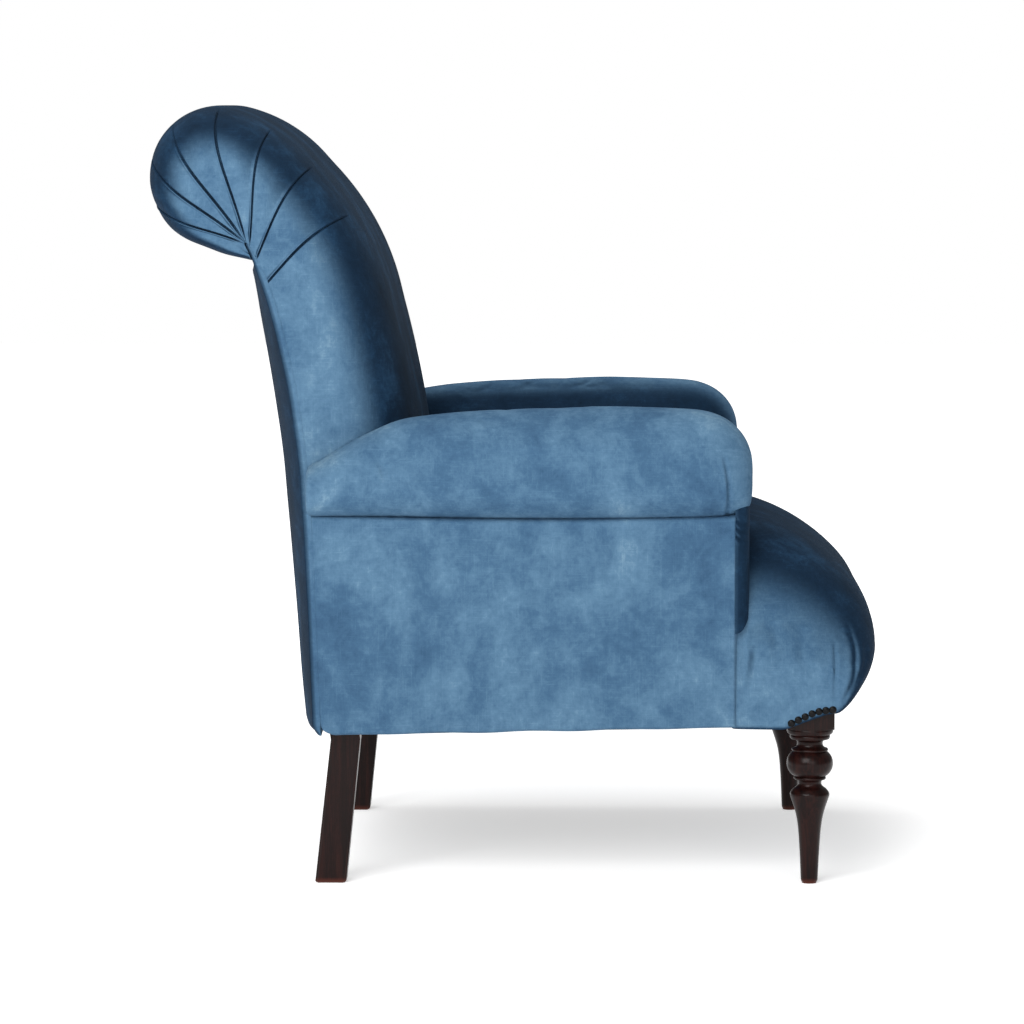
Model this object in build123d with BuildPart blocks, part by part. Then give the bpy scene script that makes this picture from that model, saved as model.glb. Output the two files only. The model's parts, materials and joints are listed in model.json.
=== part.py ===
"""Scroll-back upholstered armchair: hardwood frame, sprung seat, foam, velvet covers.

Millimetres. +Z is up and the floor is Z = 0. The chair faces -Y, and X = 0 is its plane of symmetry, with the
sitter's right hand at -X. The origin lies on the floor, at the centre of the chair's outline in plan.
"""

from build123d import *
import os

os.makedirs("parts", exist_ok=True)

# ---------------------------------------------------------------- driving dimensions
SIDES = ((-1, "right"), (1, "left"))

OVERALL_HEIGHT = 950.0          # floor to the top of the scroll

# Legs
LEG_FRONT_X = 288.0             # turned front legs, at the corners of the seat frame
LEG_FRONT_Y = -357.0
LEG_BLOCK = 57.0                # square block at the top of a front leg
LEG_BLOCK_BOTTOM = 193.0
SEAT_FRAME_TOP = 288.0
POST_OUT = 303.0                # outer face of a back post
POST_WIDTH = 36.0
POST_IN = POST_OUT - POST_WIDTH
POST_DEPTH = 36.0
POST_KINK_Z = 178.0             # the rake of the rear leg starts here
POST_TOP_Z = 752.0

# Seat frame
RAIL = 30.0
RAIL_BOTTOM_FRONT = 199.0
RAIL_BOTTOM_REAR = 188.0
SIDE_RAIL_OUT = LEG_FRONT_X + LEG_BLOCK / 2
SIDE_RAIL_IN = SIDE_RAIL_OUT - RAIL
FRONT_RAIL_FACE = LEG_FRONT_Y - LEG_BLOCK / 2 + 2
REAR_RAIL_FACE = 228.0
REAR_RAIL_THICK = 32.0

# Back
BACK_HALF_WIDTH = 309.0         # over the covers at the rear seam
COVER = 8.0                     # wadding and velvet together
SCROLL_CENTRE = (370.0, 868.0)
SCROLL_RADIUS = OVERALL_HEIGHT - SCROLL_CENTRE[1]
NECK = (322.0, 760.0)           # where the scroll's underside meets the outside back
FORMER_OUT = POST_IN            # scroll formers are screwed to the inner faces of the posts
FORMER_THICK = 24.0
BOARD = 3.0                     # millboard round the scroll

# Arms
ARM_IN = 245.0                  # inside faces of the arms
ROLL_IN = 237.0
ROLL_OUT = 357.0
ROLL_BOTTOM = 455.0
ROLL_TOP = 583.0
ROLL_CORNER = 50.0
ARM_LINING = 262.0              # face of the arm's tacking rail
STUMP_FRONT = -264.0
STUMP_THICK = 28.0
PANEL_OUT = 332.0               # outside faces of the arm panels
PANEL_IN = PANEL_OUT - 14.0

# Seat
SEAT_HALF_FRONT = 322.0         # half width of the seat in front of the arms
SEAT_HALF_BETWEEN = ARM_IN - 1.0
SEAT_BASE = 300.0               # top of the hessian over the springs
SEAT_CROWN = 437.0
SEAT_REAR_Y = 104.0
SPRING_Z = 292.0
SPRING_WIRE = 3.6
SPRING_PITCH_X = 96.0
SPRING_HALF_WIDTH = 23.0
CLEAR = 0.6                     # gap kept between covers that meet
FRAME_GAP = 0.2                 # gap between the back posts and what is stuffed round them

# Spans that reach past everything they cut or cover
BACK_SPAN = (150.0, 300.0)      # in Y, all of the back frame
LOW_SPAN = (150.0, 250.0)       # in Z, the foot of the seat frame
FAR_OUT = 400.0                 # in X, outside the chair


# ---------------------------------------------------------------- shared helpers
def save(piece, name):
    """Label a finished part and write it to its own STEP file."""
    piece.part.label = name
    export_step(piece.part, f"parts/{name}.step")


def block(x_span, y_span, z_span, mode=Mode.ADD):
    """A rectangular block between two coordinates on each axis, put into the part that is open."""
    spans = [sorted(span) for span in (x_span, y_span, z_span)]
    with Locations(tuple((low + high) / 2 for low, high in spans)):
        return Box(*(high - low for low, high in spans), mode=mode)


def rail_bottom(y):
    """Height of the seat frame's underside, which falls a little towards the rear."""
    share = (y - FRONT_RAIL_FACE) / (REAR_RAIL_FACE - FRONT_RAIL_FACE)
    return RAIL_BOTTOM_FRONT + share * (RAIL_BOTTOM_REAR - RAIL_BOTTOM_FRONT)


# Side-view outlines are drawn as (Y, Z) on planes parallel to YZ.
POST_FRONT_LOW = (196.0, 200.0)
POST_FRONT_MID = (219.0, 520.0)
POST_FRONT_TOP = (266.0, POST_TOP_Z)
SEAM_LOW = (242.0, 190.0)       # rear seam of the sides, from the bottom ...
SEAM_ARM = (252.5, 452.0)       # ... past the top of the outside arm panels ...
SEAM_MID = (272.0, 610.0)       # ... to the neck


def shifted(point, dy, dz=0.0):
    """A side-view point moved backwards by dy and up by dz."""
    return (point[0] + dy, point[1] + dz)


def post_front_strip(front, rear, x_half):
    """The leaning strip between two copies of the back posts' front line, at the given offsets in Y."""
    with BuildPart() as strip:
        with BuildSketch(Plane.YZ):
            with BuildLine():
                ThreePointArc(*(shifted(p, front) for p in (POST_FRONT_LOW, POST_FRONT_MID, POST_FRONT_TOP)))
                ThreePointArc(*(shifted(p, rear) for p in (POST_FRONT_LOW, POST_FRONT_MID, POST_FRONT_TOP)))
                Line(shifted(POST_FRONT_LOW, front), shifted(POST_FRONT_LOW, rear))
                Line(shifted(POST_FRONT_TOP, front), shifted(POST_FRONT_TOP, rear))
            make_face()
        extrude(amount=x_half, both=True)
    return strip.part


# ---------------------------------------------------------------- turned front legs
FOOT_RADIUS = 10.4
TAPER = ((FOOT_RADIUS, 4.0), (11.5, 30.0), (12.9, 54.0), (14.8, 74.0), (17.8, 89.0), (21.6, 101.0),
         (23.8, 107.5))
SHOULDER_TOP = (23.2, 112.8)
LOWER_NECK = (14.2, 124.0)
BALL_LOW = (18.6, 132.0)
BALL_SIDE = (28.4, 148.0)
BALL_HIGH = (20.6, 163.2)
UPPER_NECK = (15.6, 172.8)
CAP_LOW = (23.4, 178.4)             # the two steps under the square block
CAP_STEP = (26.0, 184.4)
CAP_HIGH = (28.2, 190.6)
CAP_INSIDE = 200.0                  # ends inside the block

DOWEL_RADIUS = 5.0
DOWEL_HALF = 22.0
DOWEL_HEIGHTS = (222.0, 262.0)
SIDE_DOWEL_HALF = 12.0
SIDE_DOWEL_RAISE = 12.0         # the side rails' dowels pass over those of the cross rails
POST_JOINT_Y = 200.0

with BuildPart() as frame_dowels:
    for side, hand in SIDES:
        for z in DOWEL_HEIGHTS:
            front_joint = (side * (LEG_FRONT_X - LEG_BLOCK / 2), FRONT_RAIL_FACE + RAIL / 2, z)
            rear_joint = (side * POST_IN, REAR_RAIL_FACE - REAR_RAIL_THICK / 2, z)
            with Locations(front_joint, rear_joint):
                Cylinder(DOWEL_RADIUS, 2 * DOWEL_HALF, rotation=(0, 90, 0))
            side_x = side * (SIDE_RAIL_IN + POST_OUT) / 2
            side_z = z + SIDE_DOWEL_RAISE
            with Locations((side_x, LEG_FRONT_Y + LEG_BLOCK / 2, side_z), (side_x, POST_JOINT_Y, side_z)):
                Cylinder(DOWEL_RADIUS, 2 * SIDE_DOWEL_HALF, rotation=(90, 0, 0))
save(frame_dowels, "frame_dowels")

# ---------------------------------------------------------------- corner block screws
BLOCK_LEG = 100.0               # length of a corner block along each rail
BLOCK_LOW = 213.0
BLOCK_HIGH = 257.0
SCREW_RADIUS = 2.2
SCREW_HEAD_RADIUS = 4.5
SCREW_LENGTH = 40.0
SCREW_Z = (BLOCK_LOW + BLOCK_HIGH) / 2
SCREW_RAIL_X = 215.0            # screws into the front and rear rails
SCREW_SEAT_X = 268.0            # head seats of the screws into the side rails
SCREW_HEAD_HEIGHT = 3.0
SCREW_FROM_CROSS_RAIL = 17.0    # head seats of the screws into the cross rails
SCREW_FROM_CORNER = 72.0        # distance of the side screws from the corner
FRONT_CORNER_Y = FRONT_RAIL_FACE + RAIL
REAR_CORNER_Y = REAR_RAIL_FACE - REAR_RAIL_THICK


def corner_screws(side):
    """Head seat and direction of each corner block screw on one side of the chair."""
    return (
        ((side * SCREW_RAIL_X, FRONT_CORNER_Y + SCREW_FROM_CROSS_RAIL, SCREW_Z), (0, -1, 0)),
        ((side * SCREW_RAIL_X, REAR_CORNER_Y - SCREW_FROM_CROSS_RAIL, SCREW_Z), (0, 1, 0)),
        ((side * SCREW_SEAT_X, FRONT_CORNER_Y + SCREW_FROM_CORNER, SCREW_Z), (side, 0, 0)),
        ((side * SCREW_SEAT_X, REAR_CORNER_Y - SCREW_FROM_CORNER, SCREW_Z), (side, 0, 0)),
    )


with BuildPart() as corner_block_screws:
    for side, hand in SIDES:
        for seat, aim in corner_screws(side):
            screw_plane = Plane(origin=seat, x_dir=(0, 0, 1), z_dir=aim)
            with BuildSketch(screw_plane):
                Circle(SCREW_RADIUS)
            extrude(amount=SCREW_LENGTH)
            with BuildSketch(screw_plane):
                Circle(SCREW_HEAD_RADIUS)
            extrude(amount=-SCREW_HEAD_HEIGHT)
save(corner_block_screws, "corner_block_screws")

# ---------------------------------------------------------------- decorative nails
# They run along the lower edge of the velvet, across the outer face of each leg block.
NAIL_COUNT = 7
NAIL_FIRST = (-332.5, 202.5)
NAIL_LAST = (-382.5, 219.5)
NAIL_HEAD = 3.8
NAIL_SHANK = 0.9
NAIL_LENGTH = 11.0
NAIL_LINE_RISE = 3.0            # the row bows upwards by this much in its middle
NAIL_EDGE = 1.0                 # straight edge of a nail head, under its dome
NAIL_DOME = 1.5
NAIL_DOME_SLOPE = 40


def nail_spots():
    """(Y, Z) of every nail in one row."""
    spots = []
    for i in range(NAIL_COUNT):
        t = i / (NAIL_COUNT - 1)
        y = NAIL_FIRST[0] + t * (NAIL_LAST[0] - NAIL_FIRST[0])
        z = NAIL_FIRST[1] + t * (NAIL_LAST[1] - NAIL_FIRST[1]) + 4 * NAIL_LINE_RISE * t * (1 - t)
        spots.append((y, z))
    return spots


nail_rows = {}
for side, hand in SIDES:
    velvet_face = side * SEAT_HALF_FRONT
    with BuildPart() as leg_nails:
        for y, z in nail_spots():
            with BuildSketch(Plane(origin=(velvet_face, y, z), x_dir=(0, 1, 0), z_dir=(side, 0, 0))):
                Circle(NAIL_HEAD)
            extrude(amount=NAIL_EDGE)
            dome_face = velvet_face + side * NAIL_EDGE
            with BuildSketch(Plane(origin=(dome_face, y, z), x_dir=(0, 1, 0), z_dir=(side, 0, 0))):
                Circle(NAIL_HEAD)
            extrude(amount=NAIL_DOME, taper=NAIL_DOME_SLOPE)
            with BuildSketch(Plane(origin=(velvet_face, y, z), x_dir=(0, 1, 0), z_dir=(side, 0, 0))):
                Circle(NAIL_SHANK)
            extrude(amount=-NAIL_LENGTH)
    nail_rows[side] = leg_nails.part
    save(leg_nails, f"leg_nails_{hand}")

for side, hand in SIDES:
    turning_plane = Plane(origin=(side * LEG_FRONT_X, LEG_FRONT_Y, 0), x_dir=(1, 0, 0), z_dir=(0, -1, 0))
    with BuildPart() as front_leg:
        with BuildSketch(turning_plane):
            with BuildLine():
                Polyline((0, 0), (FOOT_RADIUS - 1.6, 0), TAPER[0])
                Spline(*TAPER)
                ThreePointArc(TAPER[-1], (24.2, 110.0), SHOULDER_TOP)
                Spline(SHOULDER_TOP, (19.4, 117.4), LOWER_NECK, tangents=((-0.6, 1), (0, 1)))
                Spline(LOWER_NECK, (17.4, 128.2), tangents=((0, 1), (1, 0.3)))
                ThreePointArc((17.4, 128.2), (19.8, 130.0), BALL_LOW)
                ThreePointArc(BALL_LOW, BALL_SIDE, BALL_HIGH)
                ThreePointArc(BALL_HIGH, (22.3, 165.0), (20.2, 166.8))
                Spline((20.2, 166.8), UPPER_NECK, (18.2, 177.0), tangents=((-1, 0.4), (1, 0.4)))
                Line((18.2, 177.0), CAP_LOW)
                ThreePointArc(CAP_LOW, (24.6, 180.8), (24.0, 183.2))
                Line((24.0, 183.2), CAP_STEP)
                ThreePointArc(CAP_STEP, (28.3, 187.4), CAP_HIGH)
                Polyline(CAP_HIGH, (CAP_HIGH[0], CAP_INSIDE), (0, CAP_INSIDE), (0, 0))
            make_face()
        revolve(axis=Axis((side * LEG_FRONT_X, LEG_FRONT_Y, 0), (0, 0, 1)))
        block((side * LEG_FRONT_X - LEG_BLOCK / 2, side * LEG_FRONT_X + LEG_BLOCK / 2),
              (LEG_FRONT_Y - LEG_BLOCK / 2, LEG_FRONT_Y + LEG_BLOCK / 2),
              (LEG_BLOCK_BOTTOM, SEAT_FRAME_TOP))
        add(frame_dowels.part, mode=Mode.SUBTRACT)
        add(nail_rows[side], mode=Mode.SUBTRACT)
    save(front_leg, f"front_leg_{hand}")

# ---------------------------------------------------------------- back posts, in one piece with the rear legs
FOOT_REAR_Y = 249.0
KINK_REAR_Y = 229.0
SOLE_DEPTH = 38.0
LEG_CHAMFER = 3.5
SOLE_CHAMFER = 2.0
posts = {}
for side, hand in SIDES:
    with BuildPart() as back_post:
        with BuildSketch(Plane.YZ.offset(side * POST_IN)):
            with BuildLine():
                Polyline((FOOT_REAR_Y - SOLE_DEPTH, 0), (FOOT_REAR_Y, 0), (KINK_REAR_Y, POST_KINK_Z),
                         shifted(POST_FRONT_LOW, POST_DEPTH))
                ThreePointArc(shifted(POST_FRONT_LOW, POST_DEPTH), shifted(POST_FRONT_MID, POST_DEPTH),
                              shifted(POST_FRONT_TOP, POST_DEPTH))
                Line(shifted(POST_FRONT_TOP, POST_DEPTH), POST_FRONT_TOP)
                ThreePointArc(POST_FRONT_TOP, POST_FRONT_MID, POST_FRONT_LOW)
                Polyline(POST_FRONT_LOW, (KINK_REAR_Y - POST_DEPTH, POST_KINK_Z),
                         (FOOT_REAR_Y - SOLE_DEPTH, 0))
            make_face()
        extrude(amount=side * POST_WIDTH)
        long_edges = [edge for edge in back_post.edges() if edge.length > POST_KINK_Z / 2]
        leg_edges = [edge for edge in long_edges if edge.center().Z < POST_KINK_Z]
        chamfer(leg_edges, length=LEG_CHAMFER)
        chamfer(back_post.faces().sort_by(Axis.Z)[0].edges(), length=SOLE_CHAMFER)
        add(frame_dowels.part, mode=Mode.SUBTRACT)
    posts[side] = back_post.part
    save(back_post, f"back_post_{hand}")

# ---------------------------------------------------------------- seat frame
with BuildPart() as front_rail:
    half = LEG_FRONT_X - LEG_BLOCK / 2
    block((-half, half), (FRONT_RAIL_FACE, FRONT_RAIL_FACE + RAIL), (RAIL_BOTTOM_FRONT, SEAT_FRAME_TOP))
    add(frame_dowels.part, mode=Mode.SUBTRACT)
    add(corner_block_screws.part, mode=Mode.SUBTRACT)
save(front_rail, "front_rail")

with BuildPart() as rear_rail:
    block((-POST_IN, POST_IN), (REAR_CORNER_Y, REAR_RAIL_FACE), (rail_bottom(REAR_CORNER_Y), SEAT_FRAME_TOP))
    add(frame_dowels.part, mode=Mode.SUBTRACT)
    add(corner_block_screws.part, mode=Mode.SUBTRACT)
save(rear_rail, "rear_rail")

CHEEK_CUT_Y = (205.0, 240.0)    # beside the post, inside its outer face
CHEEK_CUT_LOW = 150.0
SIDE_RAIL_END = 232.0           # its cheek laps the outer face of the post as far as this
for side, hand in SIDES:
    rail_front = LEG_FRONT_Y + LEG_BLOCK / 2
    with BuildPart() as side_rail:
        with BuildSketch(Plane.YZ.offset(side * SIDE_RAIL_IN)):
            with BuildLine():
                Polyline((rail_front, rail_bottom(rail_front)), (SIDE_RAIL_END, rail_bottom(SIDE_RAIL_END)),
                         (SIDE_RAIL_END, SEAT_FRAME_TOP), (rail_front, SEAT_FRAME_TOP), close=True)
            make_face()
        extrude(amount=side * RAIL)
        add(posts[side], mode=Mode.SUBTRACT)
        # The rail stops at the post's front face, apart from the cheek that laps the post's outer face.
        block((side * SIDE_RAIL_IN, side * POST_OUT), CHEEK_CUT_Y, (CHEEK_CUT_LOW, SEAT_FRAME_TOP + 1),
              mode=Mode.SUBTRACT)
        add(frame_dowels.part, mode=Mode.SUBTRACT)
        add(corner_block_screws.part, mode=Mode.SUBTRACT)
    save(side_rail, f"side_rail_{hand}")

with BuildPart() as corner_blocks:
    for side, hand in SIDES:
        for corner_y, onward in ((FRONT_CORNER_Y, 1), (REAR_CORNER_Y, -1)):
            with BuildSketch(Plane.XY.offset(BLOCK_LOW)):
                with BuildLine():
                    Polyline((side * SIDE_RAIL_IN, corner_y),
                             (side * SIDE_RAIL_IN, corner_y + onward * BLOCK_LEG),
                             (side * (SIDE_RAIL_IN - BLOCK_LEG), corner_y), close=True)
                make_face()
            extrude(amount=BLOCK_HIGH - BLOCK_LOW)
        block((side * (LEG_FRONT_X - LEG_BLOCK / 2), side * SIDE_RAIL_OUT),
              (LEG_FRONT_Y - LEG_BLOCK / 2, LEG_FRONT_Y + LEG_BLOCK / 2),
              (BLOCK_LOW - 1, BLOCK_HIGH + 1), mode=Mode.SUBTRACT)
        # Each screw goes in through a counterbore that runs out of the block's slanting face.
        for seat, aim in corner_screws(side):
            with BuildSketch(Plane(origin=seat, x_dir=(0, 0, 1), z_dir=aim)):
                Circle(SCREW_HEAD_RADIUS)
            extrude(amount=-BLOCK_LEG / 2, mode=Mode.SUBTRACT)
    add(corner_block_screws.part, mode=Mode.SUBTRACT)
    add(frame_dowels.part, mode=Mode.SUBTRACT)
save(corner_blocks, "corner_blocks")

# ---------------------------------------------------------------- back frame
TACK_RAIL_LOW = 330.0
TACK_RAIL_HIGH = 376.0
BACK_RAIL_THICK = 24.0
NECK_RAIL_LOW = 712.0
back_tack_strip = post_front_strip(0.0, BACK_RAIL_THICK, POST_IN)
with BuildPart() as back_tack_rail:
    add(back_tack_strip)
    block((-POST_IN, POST_IN), BACK_SPAN, (TACK_RAIL_LOW, TACK_RAIL_HIGH), mode=Mode.INTERSECT)
save(back_tack_rail, "back_tack_rail")

neck_strip = post_front_strip(0.0, BACK_RAIL_THICK, POST_IN - FORMER_THICK)
with BuildPart() as neck_rail:
    add(neck_strip)
    block((-POST_IN, POST_IN), BACK_SPAN, (NECK_RAIL_LOW, POST_TOP_Z - 2), mode=Mode.INTERSECT)
save(neck_rail, "neck_rail")

# Board shape of a scroll former: it stands on the post and fills the scroll, inside the padding.
FORMER_RADIUS = 52.0
FORMER_TOP = (SCROLL_CENTRE[0], SCROLL_CENTRE[1] + FORMER_RADIUS)
FORMER_REAR = (SCROLL_CENTRE[0] + FORMER_RADIUS, SCROLL_CENTRE[1])
FORMER_UNDER = (394.0, 822.0)
FORMER_NECK = (322.0, 790.0)
FORMER_FRONT = (250.0, 764.0)
FORMER_FRONT_MID = (289.0, 868.0)


def former_sketch():
    """The former's outline, drawn on the plane that is in use."""
    with BuildSketch(mode=Mode.PRIVATE) as outline:
        with BuildLine():
            ThreePointArc(FORMER_FRONT, FORMER_FRONT_MID, FORMER_TOP)
            ThreePointArc(FORMER_TOP, (FORMER_TOP[0] + 37.0, FORMER_TOP[1] - 15.5), FORMER_REAR)
            ThreePointArc(FORMER_REAR, (FORMER_REAR[0] - 9.0, FORMER_REAR[1] - 29.0), FORMER_UNDER)
            Polyline(FORMER_UNDER, FORMER_NECK, (302.0, 756.0), (288.0, 704.0), (256.0, 704.0), FORMER_FRONT)
        make_face()
    return outline.sketch


for side, hand in SIDES:
    with BuildPart() as scroll_former:
        with BuildSketch(Plane.YZ.offset(side * FORMER_OUT)):
            add(former_sketch())
        extrude(amount=-side * FORMER_THICK)
    save(scroll_former, f"scroll_former_{hand}")

RAIL_SECTION = (46.0, 28.0)     # both cross rails of the scroll
CREST_RAIL_AT = (374.0, 896.0)
SCROLL_RAIL_AT = (290.0, 822.0)
SCROLL_RAIL_LEAN = 72           # degrees from level, along the front of the formers
with BuildPart() as crest_rail:
    with BuildSketch(Plane.YZ):
        with Locations(CREST_RAIL_AT):
            Rectangle(*RAIL_SECTION)
    extrude(amount=FORMER_OUT - FORMER_THICK, both=True)
save(crest_rail, "crest_rail")

with BuildPart() as scroll_front_rail:
    with BuildSketch(Plane.YZ):
        with Locations(SCROLL_RAIL_AT):
            Rectangle(*RAIL_SECTION, rotation=SCROLL_RAIL_LEAN)
    extrude(amount=FORMER_OUT - FORMER_THICK, both=True)
save(scroll_front_rail, "scroll_front_rail")

with BuildPart() as scroll_board:
    with BuildSketch(Plane.YZ):
        add(former_sketch())
        offset(amount=BOARD, kind=Kind.ARC)
        add(former_sketch(), mode=Mode.SUBTRACT)
        # The board stops above the posts.
        with Locations((270.0, 720.0)):
            Rectangle(120.0, 100.0, mode=Mode.SUBTRACT)
    extrude(amount=FORMER_OUT, both=True)
save(scroll_board, "scroll_board")

# ---------------------------------------------------------------- arm frames
RAIL_ARM_LOW = 500.0
RAIL_ARM_HIGH = 528.0
STUMP_REAR = STUMP_FRONT + STUMP_THICK
STUMP_IN = 256.0
STUMP_TOP = 546.0
STUMP_OUT = PANEL_IN - 1.0
STUMP_CORNER = 8.0
ARM_RAIL_X = (268.0, 312.0)
ARM_RAIL_REAR = 240.0
ARM_RAIL_NOTCH_Y = 222.0        # behind this the arm rail is cut away beside the post
ARM_TACK_THICK = 22.0
ARM_TACK_Z = (332.0, 374.0)
ARM_TACK_END = 209.0
arm_frames = {}
for side, hand in SIDES:
    with BuildPart() as arm_stump:
        with BuildSketch(Plane(origin=(0, STUMP_FRONT, 0), x_dir=(1, 0, 0), z_dir=(0, -1, 0))):
            with Locations((side * (STUMP_IN + STUMP_OUT) / 2, (SEAT_FRAME_TOP + STUMP_TOP) / 2)):
                RectangleRounded(STUMP_OUT - STUMP_IN, STUMP_TOP - SEAT_FRAME_TOP, STUMP_CORNER)
        extrude(amount=-STUMP_THICK)
    with BuildPart() as arm_rail:
        block((side * ARM_RAIL_X[0], side * ARM_RAIL_X[1]), (STUMP_REAR, ARM_RAIL_REAR),
              (RAIL_ARM_LOW, RAIL_ARM_HIGH))
        add(posts[side], mode=Mode.SUBTRACT)
        block((side * ARM_LINING, side * FAR_OUT), (ARM_RAIL_NOTCH_Y, BACK_SPAN[1]),
              (RAIL_ARM_LOW - 1, RAIL_ARM_HIGH + 1), mode=Mode.SUBTRACT)
    with BuildPart() as arm_tack_rail:
        block((side * ARM_LINING, side * (ARM_LINING + ARM_TACK_THICK)), (STUMP_REAR, ARM_RAIL_REAR),
              ARM_TACK_Z)
        add(posts[side], mode=Mode.SUBTRACT)
        block((side * ARM_IN, side * FAR_OUT), (ARM_TACK_END, BACK_SPAN[1]),
              (TACK_RAIL_LOW - 1, TACK_RAIL_HIGH), mode=Mode.SUBTRACT)
        add(back_tack_rail.part, mode=Mode.SUBTRACT)
    arm_frames[side] = arm_stump.part + arm_rail.part
    save(arm_stump, f"arm_stump_{hand}")
    save(arm_rail, f"arm_rail_{hand}")
    save(arm_tack_rail, f"arm_tack_rail_{hand}")

# ---------------------------------------------------------------- seat springs, clips and hessian
SPRING_FRONT_Y = FRONT_RAIL_FACE + RAIL / 2
SPRING_REAR_Y = REAR_RAIL_FACE - REAR_RAIL_THICK / 2
SPRING_RUNS = 27
SPRING_PITCH = (SPRING_REAR_Y - SPRING_FRONT_Y) / (SPRING_RUNS - 1)
SPRING_STARTS = [SPRING_PITCH_X * i for i in (-2, -1, 0, 1, 2)]

for number, x_middle in enumerate(SPRING_STARTS, start=1):
    with BuildPart() as seat_spring:
        with BuildLine(Plane.XY.offset(SPRING_Z)):
            for run in range(SPRING_RUNS):
                y = SPRING_FRONT_Y + run * SPRING_PITCH
                heading = 1 if run % 2 == 0 else -1
                run_end = (x_middle + heading * SPRING_HALF_WIDTH, y)
                Line((x_middle - heading * SPRING_HALF_WIDTH, y), run_end)
                if run < SPRING_RUNS - 1:
                    ThreePointArc(run_end, (run_end[0] + heading * SPRING_PITCH / 2, y + SPRING_PITCH / 2),
                                  (run_end[0], y + SPRING_PITCH))
        first_point = (x_middle - SPRING_HALF_WIDTH, SPRING_FRONT_Y, SPRING_Z)
        with BuildSketch(Plane(origin=first_point, x_dir=(0, 1, 0), z_dir=(1, 0, 0))):
            Circle(SPRING_WIRE / 2)
        sweep()
    save(seat_spring, f"seat_spring_{number}")

CLIP_OUTER = 3.8
CLIP_LENGTH = 16.0
CLIP_SLACK = 0.1
with BuildPart() as spring_clips:
    for x_middle in SPRING_STARTS:
        with BuildSketch(Plane.YZ.offset(x_middle - CLIP_LENGTH / 2)):
            for y in (SPRING_FRONT_Y, SPRING_REAR_Y):
                with Locations((y, SPRING_Z)):
                    Circle(CLIP_OUTER)
                with Locations((y, (SEAT_FRAME_TOP + SPRING_Z) / 2)):
                    Rectangle(2 * CLIP_OUTER, SPRING_Z - SEAT_FRAME_TOP)
                with Locations((y, SPRING_Z)):
                    Circle(SPRING_WIRE / 2 + CLIP_SLACK, mode=Mode.SUBTRACT)
        extrude(amount=CLIP_LENGTH)
save(spring_clips, "spring_clips")

HESSIAN = 1.5
HESSIAN_HALF = 255.0
with BuildPart() as seat_hessian:
    block((-HESSIAN_HALF, HESSIAN_HALF), (FRONT_RAIL_FACE, SPRING_REAR_Y), (SEAT_BASE - HESSIAN, SEAT_BASE))
save(seat_hessian, "seat_hessian")

# ---------------------------------------------------------------- back webbing and hessian
STRAP = 2.0
STRAP_WIDTH = 50.0
UPRIGHT_STRAPS_X = (-165.0, -55.0, 55.0, 165.0)
CROSS_STRAPS_Z = (425.0, 560.0, 617.0, 674.0)
STRAP_TACKING = 6.0             # the straps stop this far from the rails' edges
HESSIAN_TOP = 702.0
upright_strip = post_front_strip(-STRAP, 0.0, POST_IN)
with BuildPart() as back_webbing_upright:
    for x in UPRIGHT_STRAPS_X:
        block((x - STRAP_WIDTH / 2, x + STRAP_WIDTH / 2), BACK_SPAN,
              (TACK_RAIL_LOW + STRAP_TACKING, POST_TOP_Z - STRAP_TACKING))
    add(upright_strip, mode=Mode.INTERSECT)
save(back_webbing_upright, "back_webbing_upright")

BACK_CLOTH_HALF = POST_OUT - 3.0
cross_strip = post_front_strip(-2 * STRAP, -STRAP, POST_OUT)
with BuildPart() as back_webbing_cross:
    for z in CROSS_STRAPS_Z:
        block((-BACK_CLOTH_HALF, BACK_CLOTH_HALF), BACK_SPAN, (z - STRAP_WIDTH / 2, z + STRAP_WIDTH / 2))
    add(cross_strip, mode=Mode.INTERSECT)
save(back_webbing_cross, "back_webbing_cross")

BACK_PLANE = -2 * STRAP - HESSIAN   # the foam starts this far in front of the posts
hessian_strip = post_front_strip(BACK_PLANE, -2 * STRAP, BACK_CLOTH_HALF)
with BuildPart() as back_hessian:
    add(hessian_strip)
    block((-POST_OUT, POST_OUT), BACK_SPAN, (TACK_RAIL_HIGH + 2, HESSIAN_TOP), mode=Mode.INTERSECT)
    for side, hand in SIDES:
        block((side * POST_IN, side * FAR_OUT), BACK_SPAN, (RAIL_ARM_LOW - 1, RAIL_ARM_HIGH + 1),
              mode=Mode.SUBTRACT)
save(back_hessian, "back_hessian")

# ---------------------------------------------------------------- seat foam and cover
SEAT_FRONT_JOIN = STUMP_FRONT       # the seat is full width in front of this line
SEAT_NOTCH_LENGTH = 64.0            # clears each arm's stump
NOSE_TOP = ((-300.0, 434.0), (-358.0, 408.0), (-410.0, 366.0))
NOSE_FRONT = (NOSE_TOP[-1], (-441.0, 325.0), (-452.0, 282.0))
NOSE_UNDER = (NOSE_FRONT[-1], (-444.0, 240.0), (-409.0, 207.0))
NOSE_CORNER = 62.0
FACING_LOW = 316.0                  # foot of the arm facings, on the seat
FACING_THICK = 16.0
SEAT_PLAN_Y = -320.0                # middle of the rounded rectangle that trims the seat's front in plan
SEAT_PLAN_HALF = 128.0


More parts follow.
